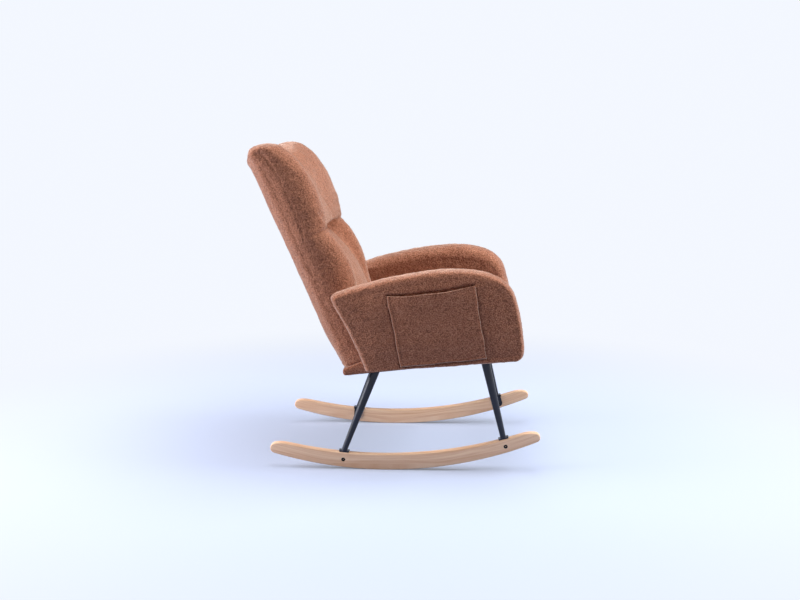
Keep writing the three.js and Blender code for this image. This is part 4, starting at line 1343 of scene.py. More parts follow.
    def _sewn(self, points: np.ndarray) -> np.ndarray:
        """Depth of the crease and of the seams.

        Args:
            points: Points of the skin as rows.

        Returns:
            One depth for each point.
        """
        x, depth, s = points.T
        front = self._front(x, s)
        forward = np.clip(-depth / front, 0, 1)
        across = smooth_step(0.45, 0.9, forward)
        share = 1 - (1 - self.wing_groove_share) * smooth_step(*self.crease_span, np.abs(x))
        crease = groove(s - self.crease, self.groove_depth, self.groove_width) * across * share
        edge_x = self.width / 2 - self.panel_inset - np.abs(x)
        edge_s = np.minimum(self.top - self.panel_drop - s, s - self.foot - self.panel_inset)
        panel = groove(np.minimum(edge_x, edge_s), self.panel_depth, self.panel_width)
        aside = smooth_step(0.75, 0.95, np.abs(x) / (self.width / 2)) * smooth_step(*self.seam_span, s)
        beside = (forward - self.side_seam_share) * (front + self.rear_swell)
        side = groove(beside, self.side_depth, self.side_width)
        return crease + panel * smooth_step(0.1, 0.0, forward) + side * aside

    def build(self, stance: Stance, finishes: Finishes) -> bpy.types.Object:
        """Builds the skin.

        Args:
            stance: The chair's frames of reference.
            finishes: The chair's finishes.

        Returns:
            The finished piece.
        """
        size = Vector((self.width, self.box_depth, self.top - self.foot))
        skin = add_object("back_upholstery", grid_box(size, self.cell))
        write_points(skin.data, self._shape(read_points(skin.data)))
        self.filling.swell(skin, self._held)
        subdivide(skin)
        PILE.raise_lumps(skin)
        press_in(skin, self._sewn(read_points(skin.data)))
        finish_skin(skin, stance.back())
        return seat_on(skin, finishes, "teddy_fabric", "back_pad_lower", "back_pad_upper", "back_cover")


@dataclass(frozen=True)
class PocketPlan:
    """Where a pocket's patch lies in the arm's side view, and how its seams draw the arm in."""

    rear_foot: Pair = (-0.094, 0.012)
    rear_top: Pair = (-0.078, 0.222)
    front_foot: Pair = (-0.341, 0.012)
    front_top: Pair = (-0.329, 0.227)
    sag: float = 0.0065
    ripple: float = 0.0011
    seam_width: float = 0.0034
    trench: float = 0.0034
    mouth_trench: float = 0.0065
    steps: int = 80

    def at(self, a: np.ndarray, b: np.ndarray) -> np.ndarray:
        """Points of the flat patch.

        Args:
            a: Shares of its width, from its rear side.
            b: Shares of its height, from its foot.

        Returns:
            Depth and height of each, as rows.
        """
        foot = np.outer(1 - a, self.rear_foot) + np.outer(a, self.front_foot)
        top = np.outer(1 - a, self.rear_top) + np.outer(a, self.front_top)
        top[:, 1] -= self.sag * 4 * a * (1 - a)
        along = np.sin(9 * b + 3 * a) + 0.6 * np.sin(23 * b + 5 * a)
        ripple = self.ripple * np.column_stack([along, 0.8 * np.sin(14 * a + 2 * b)])
        return foot * (1 - b)[:, None] + top * b[:, None] + ripple

    def hollow(self, places: np.ndarray) -> np.ndarray:
        """How far the arm's face is drawn in beside the patch's seams and behind its mouth.

        Args:
            places: Depths and heights as rows.

        Returns:
            One depth for each place.
        """
        shares = np.linspace(0, 1, self.steps)
        zero, one = np.zeros(self.steps), np.ones(self.steps)
        lines = [(self.at(zero, shares), self.trench), (self.at(one, shares), self.trench),
                 (self.at(shares, zero), self.trench)]
        lines.append((self.at(shares, one) + (0.0, 0.6 * self.seam_width), self.mouth_trench))
        depth = np.zeros(len(places))
        for line, trench in lines:
            gap = np.linalg.norm(places[:, None] - line[None], axis=2).min(axis=1)
            depth = np.maximum(depth, groove(gap, trench, self.seam_width))
        return depth


@dataclass
class Arm:
    """A padded arm between two rounded seams, with room for a pocket on its outer side.

    Depth and height of its side view are those of the seat's frame.
    """

    side: Side
    pocket: PocketPlan = PocketPlan()
    face: BVHTree | None = None
    inner: float = 0.252
    thickness: float = 0.090
    length: float = 0.451
    height: float = 0.2775
    edge_thickness: float = 0.036
    edge_inset: float = 0.015
    ease: float = 0.0035
    inner_round: float = 0.050
    inner_inset: float = 0.038
    spacing: float = 0.006
    curve_steps: int = 30
    bulge: float = 0.0045
    bulge_reach: float = 0.09
    seam_depth: float = 0.001
    seam_width: float = 0.004
    hem_height: float = 0.011
    hold_width: float = 0.008
    hold_foot: float = 0.02
    rear_span: Pair = (0.0, -0.12)
    foot_span: Pair = (0.05, 0.12)
    outline_shares: tuple[tuple[Pair, ...], ...] = (
        ((0.021, -0.006), (0.078, 0.33), (0.114, 0.50), (0.188, 0.785)),
        ((0.188, 0.785), (0.207, 0.848), (0.166, 0.868)),
        ((0.166, 0.868), (-0.132, 0.988), (-0.471, 1.0)),
        ((-0.471, 1.0), (-0.724, 1.0), (-0.965, 0.919), (-0.985, 0.579)),
        ((-0.985, 0.579), (-1.008, 0.351), (-1.006, 0.13)),
        ((-1.006, 0.13), (-1.004, -0.018), (-0.945, -0.018)),
    )
    filling: Filling = Filling(voxel=0.0056, slack=0.002, reach=0.004)
    fill: float = 0.7

    def outline(self) -> np.ndarray:
        """The arm seen from its side, anticlockwise, as rows of depth and height."""
        corners = []
        for curve in self.outline_shares:
            corners += curve_of(curve, self.curve_steps)
        sized = [(a * self.length, b * self.height) for a, b in corners]
        return drawn_in(evenly(sized, self.spacing), -self.ease)

    def _rings(self) -> list[np.ndarray]:
        """Rings across the arm, from its inner to its outer face."""
        outline = self.outline()
        along = np.roll(outline, -1, axis=0) - np.roll(outline, 1, axis=0)
        rear, up = (np.stack([along[:, 1], -along[:, 0]]) / np.linalg.norm(along, axis=1)).clip(-1, 1)
        weight = np.where(up > 0, 1.0, 0.2) * up**2 + np.where(rear > 0, 1.2, 0.75) * rear**2
        rings = []
        for angle in np.linspace(0, math.pi / 2, 8):
            inset = self.inner_inset * (1 - math.sin(angle)) * weight
            rings.append((self.inner + self.inner_round * (1 - math.cos(angle)), inset))
        outer = self.inner + self.thickness
        for angle in np.linspace(0, math.pi / 2, 9):
            inset = self.edge_inset * (1 - math.cos(angle)) * weight
            rings.append((outer - self.edge_thickness * (1 - math.sin(angle)), inset))
        made = []
        for x, inset in rings:
            ring = drawn_in(outline, inset)
            made.append(np.column_stack([np.full(len(ring), x * self.side.sign), ring]))
        return made

    def _held(self, points: np.ndarray) -> np.ndarray:
        """How firmly the outer seam, the foot and the inner board hold the cover.

        Args:
            points: Points of the cover as rows.

        Returns:
            A share for each point.
        """
        out = (points[:, 0] * self.side.sign - self.inner) / self.thickness
        inside = distance_to(self.outline(), points[:, 1:])
        seam = groove(inside - self.edge_inset, 1.0, self.hold_width) * smooth_step(0.5, 0.9, out)
        foot = smooth_step(self.hold_foot, 0.0, points[:, 2])
        return np.maximum.reduce([seam, foot, smooth_step(0.12, 0.0, out)])

    def _sewn(self, inside: np.ndarray, out: np.ndarray, places: np.ndarray) -> np.ndarray:
        """Depth of the seams and of the hollow round the pocket.

        Args:
            inside: Distance of each point to the outline.
            out: How far out from the arm's inner face it lies.
            places: Its depth and height, as rows.

        Returns:
            One depth for each point.
        """
        outward = smooth_step(self.thickness - self.edge_thickness, self.thickness, out)
        u, v = places.T
        clear = smooth_step(*self.rear_span, u) * smooth_step(*self.foot_span, v)
        seam = groove(inside - self.edge_inset, self.seam_depth, self.seam_width)
        seam *= (0.25 + 0.75 * clear) * smooth_step(0.35, 0.7, outward)
        hem = groove(v - self.hem_height, 0.8 * self.seam_depth, 0.6 * self.seam_width)
        hem = hem * smooth_step(0.7, 1.0, outward)
        return seam + hem + self.pocket.hollow(places) * smooth_step(0.8, 1.0, outward)

    def outer_face(self, places: np.ndarray) -> np.ndarray:
        """How far out the built arm's outer face lies.

        Args:
            places: Depths and heights as rows.

        Returns:
            One distance from the chair's middle for each place.
        """
        way = Vector((-self.side.sign, 0.0, 0.0))
        hits = [self.face.ray_cast(Vector((self.side.sign, u, v)), way)[0] for u, v in places]
        return np.array([abs(hit.x) for hit in hits])

    def build(self, stance: Stance, finishes: Finishes) -> bpy.types.Object:
        """Builds the arm's cover.

        Args:
            stance: The chair's frames of reference.
            finishes: The chair's finishes.

        Returns:
            The finished piece.
        """
        cover = add_object(f"arm_upholstery_{self.side.value}", bridged(self._rings()))
        self.filling.swell(cover, self._held)
        relax(cover, 2)
        subdivide(cover)
        PILE.raise_lumps(cover)
        points = read_points(cover.data)
        out = points[:, 0] * self.side.sign - self.inner
        inside = distance_to(self.outline(), points[:, 1:])
        swell = self.bulge * smooth_step(self.edge_inset, self.bulge_reach, inside)
        swell = swell * smooth_step(0.8, 1.0, out / self.thickness)
        points[:, 0] += swell * self.side.sign
        write_points(cover.data, points)
        faces = [tuple(face.vertices) for face in cover.data.polygons]
        self.face = BVHTree.FromPolygons(points.tolist(), faces)
        press_in(cover, self._sewn(inside, out, points[:, 1:]))
        finish_skin(cover, stance.seat())
        return seat_on(cover, finishes, "teddy_fabric", f"arm_cover_{self.side.value}")


@dataclass
class Pocket:
    """The flat pocket on an arm: a patch sewn down its sides and foot, open at its mouth."""

    arm: Arm
    stand_off: float = 0.0016
    gape: float = 0.0055
    gape_reach: float = 0.07
    cloth: float = 0.0024
    seam_rise: float = 0.0013
    edge_width: float = 0.003
    pile_share: float = 0.7
    columns: int = 90
    rows: int = 78

    def _lift(self, to_side: np.ndarray, to_foot: np.ndarray, to_mouth: np.ndarray) -> np.ndarray:
        """How far the patch stands off the arm's face.

        Args:
            to_side: Distance of each point from the nearer side seam.
            to_foot: Its distance from the foot seam.
            to_mouth: Its distance from the mouth.

        Returns:
            One distance for each point.
        """
        seam_width = self.arm.pocket.seam_width
        belly = smooth_step(0.0, self.gape_reach, to_side) * (to_foot / (to_foot + to_mouth)) ** 2
        lift = self.stand_off + self.gape * belly
        for distance in (to_side, to_foot):
            lift += groove(distance - seam_width, self.seam_rise, 0.8 * seam_width)
            lift -= groove(distance - 2.4 * seam_width, 0.6 * self.seam_rise, 0.6 * seam_width)
        lift += groove(to_mouth, self.seam_rise, seam_width)
        edge = np.minimum(to_side, to_foot)
        return lift - (self.stand_off + self.cloth / 2) * smooth_step(self.edge_width, 0.0, edge)

    def build(self, stance: Stance, finishes: Finishes) -> bpy.types.Object:
        """Builds the pocket's patch.

        Args:
            stance: The chair's frames of reference.
            finishes: The chair's finishes.

        Returns:
            The finished piece.
        """
        plan = self.arm.pocket
        shape = bmesh.new()
        bmesh.ops.create_grid(shape, x_segments=self.columns, y_segments=self.rows, size=0.5)
        patch = add_object(f"arm_pocket_patch_{self.arm.side.value}", shape)
        a, b = read_points(patch.data)[:, :2].T + 0.5
        flat = plan.at(a, b)
        width = abs(plan.front_top[0] - plan.rear_top[0])
        height = plan.rear_top[1] - plan.rear_foot[1]
        lift = self._lift(np.minimum(a, 1 - a) * width, b * height, (1 - b) * height)
        x = (self.arm.outer_face(flat) + lift) * self.arm.side.sign
        write_points(patch.data, np.column_stack([x, flat]))
        cloth = patch.modifiers.new("cloth", "SOLIDIFY")
        cloth.thickness = self.cloth
        cloth.offset = 0.0
        cloth.use_even_offset = True
        bake_modifiers(patch)
        face_out(patch)
        finish_skin(patch, stance.seat(), self.pile_share)
        return seat_on(patch, finishes, "teddy_fabric", f"arm_pocket_{self.arm.side.value}")


@dataclass
class SeatCushion:
    """The crowned seat cushion between the arms, which runs back to the back's foot."""

    half_width: float = 0.2465
    front: float = -0.449
    bottom: float = 0.0293
    height: float = 0.072
    crown: float = 0.013
    front_swell: float = 0.006
    edge_round: float = 0.034
    under_round: float = 0.010
    cell: float = 0.0065
    back_depth: float = 0.138
    rear_corner: float = 0.014
    side_share: float = 0.55
    under_share: float = 0.4
    hold_span: Pair = (0.4, 0.1)
    lump_share: float = 0.6
    filling: Filling = Filling(slack=0.004, reach=0.012)
    fill: float = 0.8

    def _held(self, points: np.ndarray) -> np.ndarray:
        """How firmly the deck holds points of the cushion."""
        low, high = (self.bottom + share * self.height for share in self.hold_span)
        return smooth_step(low, high, points[:, 2])

    def _rear(self, stance: Stance) -> float:
        """Depth of its rear, where the back's foot is."""
        return stance.back_foot[1] - self.back_depth / math.cos(stance.rake)

    def _shape(self, points: np.ndarray, half: np.ndarray, stance: Stance) -> np.ndarray:
        """Warps points of the plain box to the cushion.

        Args:
            points: Points of the grid box as rows.
            half: Half the box's size.
            stance: The chair's frames of reference.

        Returns:
            The points in the seat's frame.
        """
        rim = self.height - self.crown
        radii = np.tile([self.edge_round, self.edge_round, self.side_share * rim], (len(points), 1))
        radii[points[:, 2] < 0] = (self.under_round, self.under_round, self.under_share * rim)
        radii[points[:, 1] > 0, :2] = self.rear_corner
        x, y, z = rounded(points, half, radii).T
        up = z / rim + 0.5
        flatness = (1 - (x / half[0]) ** 4) * (1 - (y / half[1]) ** 4)
        z = z + self.crown * np.clip(flatness, 0, 1) ** 0.7 * smooth_step(0.3, 1.0, up)
        belly = np.sin(np.clip(up, 0, 1) * math.pi)
        y = y - self.front_swell * belly * smooth_step(0.3, 1.0, -y / half[1])
        height = self.bottom + z + rim / 2
        rise = (height - stance.back_foot[2]) * math.tan(stance.rake)
        lean = rise * smooth_step(-1.0, 1.0, y / half[1])
        depth = y + (self._rear(stance) + self.front) / 2 + lean
        return np.column_stack([x, depth, height])

    def build(self, stance: Stance, finishes: Finishes) -> bpy.types.Object:
        """Builds the cushion.

        Args:
            stance: The chair's frames of reference.
            finishes: The chair's finishes.

        Returns:
            The finished piece.
        """
        length = self._rear(stance) - self.front
        size = Vector((2 * self.half_width, length, self.height - self.crown))
        cushion = add_object("seat_cushion_cover", grid_box(size, self.cell))
        shaped = self._shape(read_points(cushion.data), np.array(size) / 2, stance)
        write_points(cushion.data, shaped)
        self.filling.swell(cushion, self._held)
        subdivide(cushion)
        PILE.raise_lumps(cushion, self.lump_share)
        finish_skin(cushion, stance.seat())
        return seat_on(cushion, finishes, "teddy_fabric", "seat_cushion")


@dataclass
class SeatBorder:
    """The padded fabric band round the seat frame."""

    half_width: float = 0.2505
    front: float = -0.4455
    rear: float = 0.0875
    low: float = -0.0198
    high: float = 0.0292
    corner: float = 0.006
    cloth: float = 0.0028
    spacing: float = 0.0033
    back_drop: float = 0.0230
    pile_share: float = 0.7
    rows: tuple[Pair, ...] = (
        (0.0, -0.016), (-0.012, -0.009), (0.01, -0.003), (0.07, -0.0006), (0.16, 0.0006), (0.26, 0.0014),
        (0.36, 0.0018), (0.46, 0.002), (0.56, 0.002), (0.66, 0.0018), (0.76, 0.0014), (0.86, 0.0005),
        (0.94, -0.0008), (0.99, -0.003), (1.0, -0.007), (1.0, -0.014), (1.0, -0.0255),
    )

    def build(self, stance: Stance, finishes: Finishes) -> bpy.types.Object:
        """Builds the band.

        Args:
            stance: The chair's frames of reference.
            finishes: The chair's finishes.

        Returns:
            The finished piece.
        """
        quarter = math.pi / 2
        side = self.half_width - self.corner
        front, rear = self.front + self.corner, self.rear - self.corner
        middles = ((side, rear), (-side, rear), (-side, front), (side, front))
        corners = []
        for turn, middle in enumerate(middles):
            corners += arc_of(middle, self.corner, turn * quarter, (turn + 1) * quarter, 10)
        outline = evenly(corners, self.spacing)
        foot_y, foot_z = stance.back_foot[1:]
        fall = math.tan(stance.rake) * (outline[:, 1] - foot_y)
        top = np.minimum(self.high, foot_z - self.back_drop / math.cos(stance.rake) - fall)
        rings = []
        for share, out in self.rows:
            ring = drawn_in(outline, -out)
            rings.append(np.column_stack([ring, self.low + share * (top - self.low)]))
        band = add_object("seat_border_band", bridged(rings, capped=False))
        cloth = band.modifiers.new("cloth", "SOLIDIFY")
        cloth.thickness = self.cloth
        cloth.offset = -1.0
        bake_modifiers(band)
        finish_skin(band, stance.seat(), self.pile_share)
        return seat_on(band, finishes, "teddy_fabric", "seat_border")


@dataclass
class Rocker:
    """A bow rocker of solid beech with soft ends."""

    side: Side
    gauge: float = 0.480
    thickness: float = 0.022
    height: float = 0.048
    floor_radius: float = 1.200
    top_radius: float = 1.340
    top_setback: float = 0.008
    front_reach: float = 0.475
    rear_reach: float = 0.345
    rear_tip: float = 0.016
    front_tip: float = 0.0145
    tip_length: float = 0.074
    tip_turn: float = math.radians(14)
    edge_round: float = 0.0034
    step: float = 0.006
    nut_head: float = 0.0124
    nut_recess: float = 0.0022
    bolt_drop: float = 0.023
    tip_steps: int = 16
    brow_steps: int = 14
    grain_shift: float = 0.37
    grain_depth_share: float = 0.5

    def top_at(self, y: float) -> float:
        """Height of its top at a depth from its middle."""
        level = math.sqrt(self.top_radius**2 - (y - self.top_setback) ** 2)
        return self.height + self.top_radius - level

    def slope_at(self, y: float) -> float:
        """Slope of its top at a depth from its middle."""
        return math.asin((y - self.top_setback) / self.top_radius)

    def outline(self) -> list[Pair]:
        """Its outline seen from the side, anticlockwise."""
        quarter = math.pi / 2
        reaches = (-self.front_reach, self.rear_reach)
        tips = (self.front_tip, self.rear_tip)
        angles, centres, joins = [], [], []
        for reach, tip in zip(reaches, tips):
            arm = self.floor_radius - tip
            angle = math.asin((reach - math.copysign(tip, reach)) / arm)
            angles.append(angle)
            centres.append((arm * math.sin(angle), self.floor_radius - arm * math.cos(angle)))
            joins.append(quarter - math.copysign(self.tip_turn, reach))
        steps = round(self.floor_radius * (angles[1] - angles[0]) / self.step)
        middle = (0.0, self.floor_radius)
        points = arc_of(middle, self.floor_radius, angles[0] - quarter, angles[1] - quarter, steps)
        points += arc_of(centres[1], tips[1], angles[1] - quarter, joins[1], self.tip_steps)[1:]
        shoulders = (self.rear_reach - self.tip_length, self.tip_length - self.front_reach)
        points += self._brow(points[-1], joins[1] + quarter, shoulders[0])
        for y in np.linspace(*shoulders, steps)[1:]:
            points.append((y, self.top_at(y)))
        start = arc_of(centres[0], tips[0], joins[0], joins[0], 1)[0]
        points += [*self._brow(start, joins[0] - quarter, shoulders[1])[-2::-1], start]
        end = 3 * quarter + angles[0]
        return points + arc_of(centres[0], tips[0], joins[0], end, self.tip_steps)[1:-1]

    def _brow(self, start: Pair, heading: float, shoulder: float) -> list[Pair]:
        """The smooth stretch of the top between a tip's round end and the long arc.

        Args:
            start: Where it leaves the tip.
            heading: Its direction there, as an angle.
            shoulder: Depth at which it joins the arc.

        Returns:
            Its points, from the tip to the shoulder.
        """
        end = np.array((shoulder, self.top_at(shoulder)))
        reach = np.linalg.norm(end - start) / 3
        slope = self.slope_at(shoulder)
        way = math.copysign(1.0, start[0] - shoulder)
        before = np.array(start) + reach * np.array((math.cos(heading), math.sin(heading)))
        after = end + way * reach * np.array((math.cos(slope), math.sin(slope)))
        return curve_of((start, before, after, end), self.brow_steps)

    def foot_frame(self, place: float, lift: float) -> Matrix:
        """Frame of a foot bracket: on the rocker's top, sloping with it.

        Args:
            place: Depth of the foot from the rocker's middle.
            lift: How far the frame stands off the top.

        Returns:
            The frame's matrix, about the rocker's middle line.
        """
        slope = self.slope_at(place)
        height = self.top_at(place) + lift / math.cos(slope)
        at = Matrix.Translation((self.side.sign * self.gauge / 2, place, height))
        return at @ Matrix.Rotation(slope, 4, "X")

    def build(self, datum: float, finishes: Finishes, feet: Sequence[Matrix]) -> bpy.types.Object:
        """Builds the rocker.

        Args:
            datum: Y of its middle.
            finishes: The chair's finishes.
            feet: Frames of the foot brackets, where it is bored for their fixings.

        Returns:
            The finished piece.
        """
        half = self.thickness / 2
        shape = sheet_of(self.outline(), lambda y, z: (-half, y, z))
        thicken(shape, X_AXIS * self.thickness)
        rims = [e for e in shape.edges if all(abs(abs(v.co.x) - half) < TINY for v in e.verts)]
        rims = [e for e in rims if abs(e.verts[0].co.x - e.verts[1].co.x) < TINY]
        bevel_all(shape, rims, self.edge_round, 5)
        bmesh.ops.translate(shape, verts=shape.verts, vec=(self.side.sign * self.gauge / 2, datum, 0))
        bow = add_object(f"rocker_bow_{self.side.value}", shape)
        radii = (self.nut_head / 2, self.nut_head / 2)
        face = Vector((self.side.sign * half, 0, 0))
        way = Vector((self.side.sign * self.nut_recess, 0, 0))
        middles = [foot @ Vector((0, 0, -self.bolt_drop)) + face for foot in feet]
        combine(bow, "DIFFERENCE", [rod(radii, at - way, at + 3 * way, 32) for at in middles])
        self._store_grain(bow.data, datum)
        shade(bow, math.radians(35))
        return seat_on(bow, finishes, "beech", f"rocker_{self.side.value}")

    def _store_grain(self, mesh: bpy.types.Mesh, datum: float) -> None:
        """Stores each vertex's place along, across and up the bow, which its grain follows.

        Args:
            mesh: The bow's mesh.
            datum: Y of its middle.
        """
        points = read_points(mesh)
        y, z = points[:, 1] - datum, points[:, 2] - self.floor_radius
        along = self.floor_radius * np.arctan2(y, -z)
        up = self.floor_radius - np.hypot(y, z)
        shift = self.grain_shift * self.side.sign
        rows = np.column_stack([along + shift, points[:, 0] * self.grain_depth_share, up + shift])
        attribute = mesh.attributes.new(GrainSource.ATTRIBUTE.value, "FLOAT_VECTOR", "POINT")
        attribute.data.foreach_set("vector", rows.astype(np.float32).ravel())


@dataclass
class Foot:
    """One leg with its foot bracket, bolt and sleeve nut."""

    rocker: Rocker
    end: End
    top_place: float
    foot_place: float
    top_spread: float = 0.207
    plate_drop: float = 0.0213
    top_radius: float = 0.0135
    foot_radius: float = 0.0085
    weld: float = 0.0016
    bracket: float = 0.0036
    lift: float = 0.00049
    flange_length: float = 0.031
    flange_width: float = 0.024
    flange_round: float = 0.0045
    tab_width: float = 0.027
    tab_drop: float = 0.036
    soft_edge: float = 0.0007
    head_radius: float = 0.006
    head_height: float = 0.0036
    head_angle: float = 0.35
    bolt_radius: float = 0.003
    bolt_end: float = 0.005
    socket: float = 0.002
    socket_depth: float = 0.003
    nut_length: float = 0.014
    nut_radius: float = 0.0045
    nut_recess: float = 0.0008
    nut_head: float = 0.0014
    nut_rim: float = 0.0004
    touch: float = 0.0003
    sides: int = 48

    @property
    def sign(self) -> float:
        """Direction of its side along X."""
        return self.rocker.side.sign

    @property
    def half(self) -> float:
        """Half the thickness of its rocker."""
        return self.rocker.thickness / 2

    def _named(self, piece: str) -> str:
        """A piece's name with the leg's own place."""
        return f"{piece}_{self.end.value}_{self.rocker.side.value}"

    def frame(self, datum: float) -> Matrix:
        """The bracket's frame on its rocker, whose middle lies at the datum."""
        return Matrix.Translation((0, datum, 0)) @ self.rocker.foot_frame(self.foot_place, self.lift)

    def build(self, stance: Stance, finishes: Finishes) -> None:
        """Builds the leg and what holds it.

        Args:
            stance: The chair's frames of reference.
            finishes: The chair's finishes.
        """
        frame = self.frame(stance.datum())
        self._leg(stance.seat(), frame, finishes)
        self._bracket(frame, finishes)
        self._bolt(frame, finishes)
        self._nut(frame, finishes)

    def _leg(self, seat: Matrix, foot: Matrix, finishes: Finishes) -> None:
        """Builds the tapered tube, mitred to its plate and its bracket, with a weld at each end.

        Args:
            seat: The seat's frame.
            foot: The bracket's frame.
            finishes: The chair's finishes.
        """
        top = seat @ Vector((self.sign * self.top_spread, self.top_place, -self.plate_drop))
        base = foot @ Vector((0, 0, self.bracket))
        axis = (top - base).normalized()
        spare = 2 * self.top_radius
        taper = (self.top_radius - self.foot_radius) / (top - base).length
        radii = (self.foot_radius - taper * spare, self.top_radius + taper * spare)
        shape = rod(radii, base - axis * spare, top + axis * spare, self.sides)
        up_seat = seat.to_3x3() @ Z_AXIS
        up_foot = foot.to_3x3() @ Z_AXIS
        mitres = ((top, up_seat, self.top_radius), (base, -up_foot, self.foot_radius))
        for middle, normal, _ in mitres:
            geometry = shape.verts[:] + shape.edges[:] + shape.faces[:]
            bmesh.ops.bisect_plane(
                shape, geom=geometry, plane_co=middle, plane_no=normal, clear_outer=True
            )
            bmesh.ops.holes_fill(shape, edges=shape.edges, sides=0)
        for middle, normal, radius in mitres:
            self._weld(shape, middle, -normal, radius)
        bmesh.ops.recalc_face_normals(shape, faces=shape.faces)
        leg = add_object(self._named("leg_tube"), shape)
        shade(leg, math.radians(40))
        seat_on(leg, finishes, "black_steel", self._named("leg"))

    def _weld(self, shape: bmesh.types.BMesh, middle: Vector, normal: Vector, radius: float) -> None:
        """Adds a bead of weld round a mitre of the tube.

        Args:
            shape: The tube.
            middle: Middle of the mitre.
            normal: Its direction, into the tube.
            radius: The tube's radius there.
        """
        ring = bmesh.new()
        angles = np.linspace(0, math.tau, 9)[:-1]
        places = [(radius + self.weld * math.cos(a), self.weld * (0.3 + math.sin(a))) for a in angles]
        verts = [ring.verts.new((out, 0, up)) for out, up in places]
        edges = [ring.edges.new(pair) for pair in zip(verts, verts[1:] + verts[:1])]
        spun(ring, verts, edges, Z_AXIS, self.sides)
        turn = normal.to_track_quat("Z", "Y").to_matrix().to_4x4()
        bmesh.ops.transform(ring, matrix=Matrix.Translation(middle) @ turn, verts=ring.verts)
        mesh = bpy.data.meshes.new("weld")
        ring.to_mesh(mesh)
        ring.free()
        shape.from_mesh(mesh)
        bpy.data.meshes.remove(mesh)

    def _bracket(self, frame: Matrix, finishes: Finishes) -> None:
        """Builds the bent bracket: a flange on the rocker and a tab down its inner face.

        Args:
            frame: The bracket's frame.
            finishes: The chair's finishes.
        """
        inner = -self.half - self.touch
        tab_end = self.tab_width / 2 - self.tab_drop
        bracket = add_object(self._named("foot_bracket"), self._strip(inner, tab_end))
        combine(bracket, "DIFFERENCE", [self._beside_tab(inner, way) for way in (-1, 1)])
        combine(bracket, "UNION", [self._tab(inner, tab_end)])
        soft = bracket.modifiers.new("soft", "BEVEL")
        soft.width = self.soft_edge
        soft.segments = 2
        soft.limit_method = "ANGLE"
        soft.angle_limit = math.radians(50)
        bake_modifiers(bracket)
        bracket.data.transform(frame)
        shade(bracket, math.radians(40))
        seat_on(bracket, finishes, "black_steel", self._named("rocker_bracket"))

    def _strip(self, inner: float, tab_end: float) -> bmesh.types.BMesh:
        """The bent strip in its full width, down to where the round end of the tab starts.

        Args:
            inner: Place of the rocker's inner face.
            tab_end: Height at which the strip ends.

        Returns:
            The closed shape.
        """
        bend = self.bracket
        rim = self.flange_width - self.half - bend
        section = [(rim, 0.0), (rim, bend)]
        section += arc_of((inner, 0.0), bend, math.pi / 2, math.pi, 6)
        section += [(inner - bend, tab_end), (inner, tab_end), (inner, 0.0)]
        shape = sheet_of(section, lambda x, z: (x * self.sign, -self.flange_length / 2, z))
        thicken(shape, Y_AXIS * self.flange_length)
        corners = [e for e in shape.edges if abs(e.verts[0].co.z - e.verts[1].co.z) > bend / 2
                   and all(abs(v.co.x * self.sign - rim) < TINY for v in e.verts)]
        bevel_all(shape, corners, self.flange_round, 6)
        return shape

    def _beside_tab(self, inner: float, way: int) -> bmesh.types.BMesh:
        """A block that cuts the strip down to the tab's width on one side.

        Args:
            inner: Place of the rocker's inner face.
            way: 1 for the side towards the rear, -1 for the other.

        Returns:
            The block.
        """
        bend, reach = self.bracket, self.flange_length / 2
        block = bmesh.new()
        bmesh.ops.create_cube(block, size=1.0)
        bmesh.ops.scale(block, vec=(3 * bend, reach, self.tab_drop), verts=block.verts)
        place = way * (self.tab_width / 2 + reach / 2)
        low = -self.tab_drop / 2 - bend / 2
        vec = ((inner - bend) * self.sign, place, low)
        bmesh.ops.translate(block, verts=block.verts, vec=vec)
        return block

    def _tab(self, inner: float, tab_end: float) -> bmesh.types.BMesh:
        """The round end of the tab.

        Args:
            inner: Place of the rocker's inner face.
            tab_end: Height at which the round end starts.

        Returns:
            The closed shape.
        """
        half, bend = self.tab_width / 2, self.bracket
        outline = arc_of((0.0, tab_end), half, math.pi, math.tau, 24)
        outline += [(half, tab_end + bend), (-half, tab_end + bend)]
        tab = sheet_of(outline, lambda y, z: (inner * self.sign, y, z))
        thicken(tab, Vector((-bend * self.sign, 0, 0)))
        return tab

    def _fixing(
        self, name: str, profile: Sequence[Pair], frame: Matrix, socket: Pair
    ) -> bpy.types.Object:
        """A turned fixing with a hex socket, set across the rocker.

        Args:
            name: Its name.
            profile: Rows of radius and place across the rocker, outwards.
            frame: The bracket's frame.
            socket: Where its socket starts and ends, on past the head.

        Returns:
            The fixing.
        """
        thing = add_object(name, turned(profile, 32))
        hexagon = rod((self.socket, self.socket), X_AXIS * socket[0], X_AXIS * socket[1], 6)
        combine(thing, "DIFFERENCE", [hexagon])
        if self.rocker.side is Side.RIGHT:
            thing.data.transform(Matrix.Rotation(math.pi, 4, "Z"))
        thing.data.transform(frame @ Matrix.Translation((0, 0, -self.rocker.bolt_drop)))
        shade(thing, math.radians(40))
        return thing

    def _bolt(self, frame: Matrix, finishes: Finishes) -> None:
        """Builds the button-head bolt that goes in from the bracket's side.

        Args:
            frame: The bracket's frame.
            finishes: The chair's finishes.
        """
        seat = -self.half - 2 * self.touch - self.bracket
        tip = self.half - self.bolt_end
        dome = [(self.head_radius * math.sin(a), seat - self.head_height * math.cos(a))
                for a in np.linspace(self.head_angle, math.pi / 2, 8)]
        shank = [(self.bolt_radius, seat), (self.bolt_radius, tip), (0.0, tip)]
        profile = [(0.0, dome[0][1]), *dome, *shank]
        socket = (seat - 2 * self.head_height, seat - 0.4 * self.head_height)
        bolt = self._fixing(self._named("foot_bolt"), profile, frame, socket)
        seat_on(bolt, finishes, "zinc_steel", self._named("rocker_bolt"))

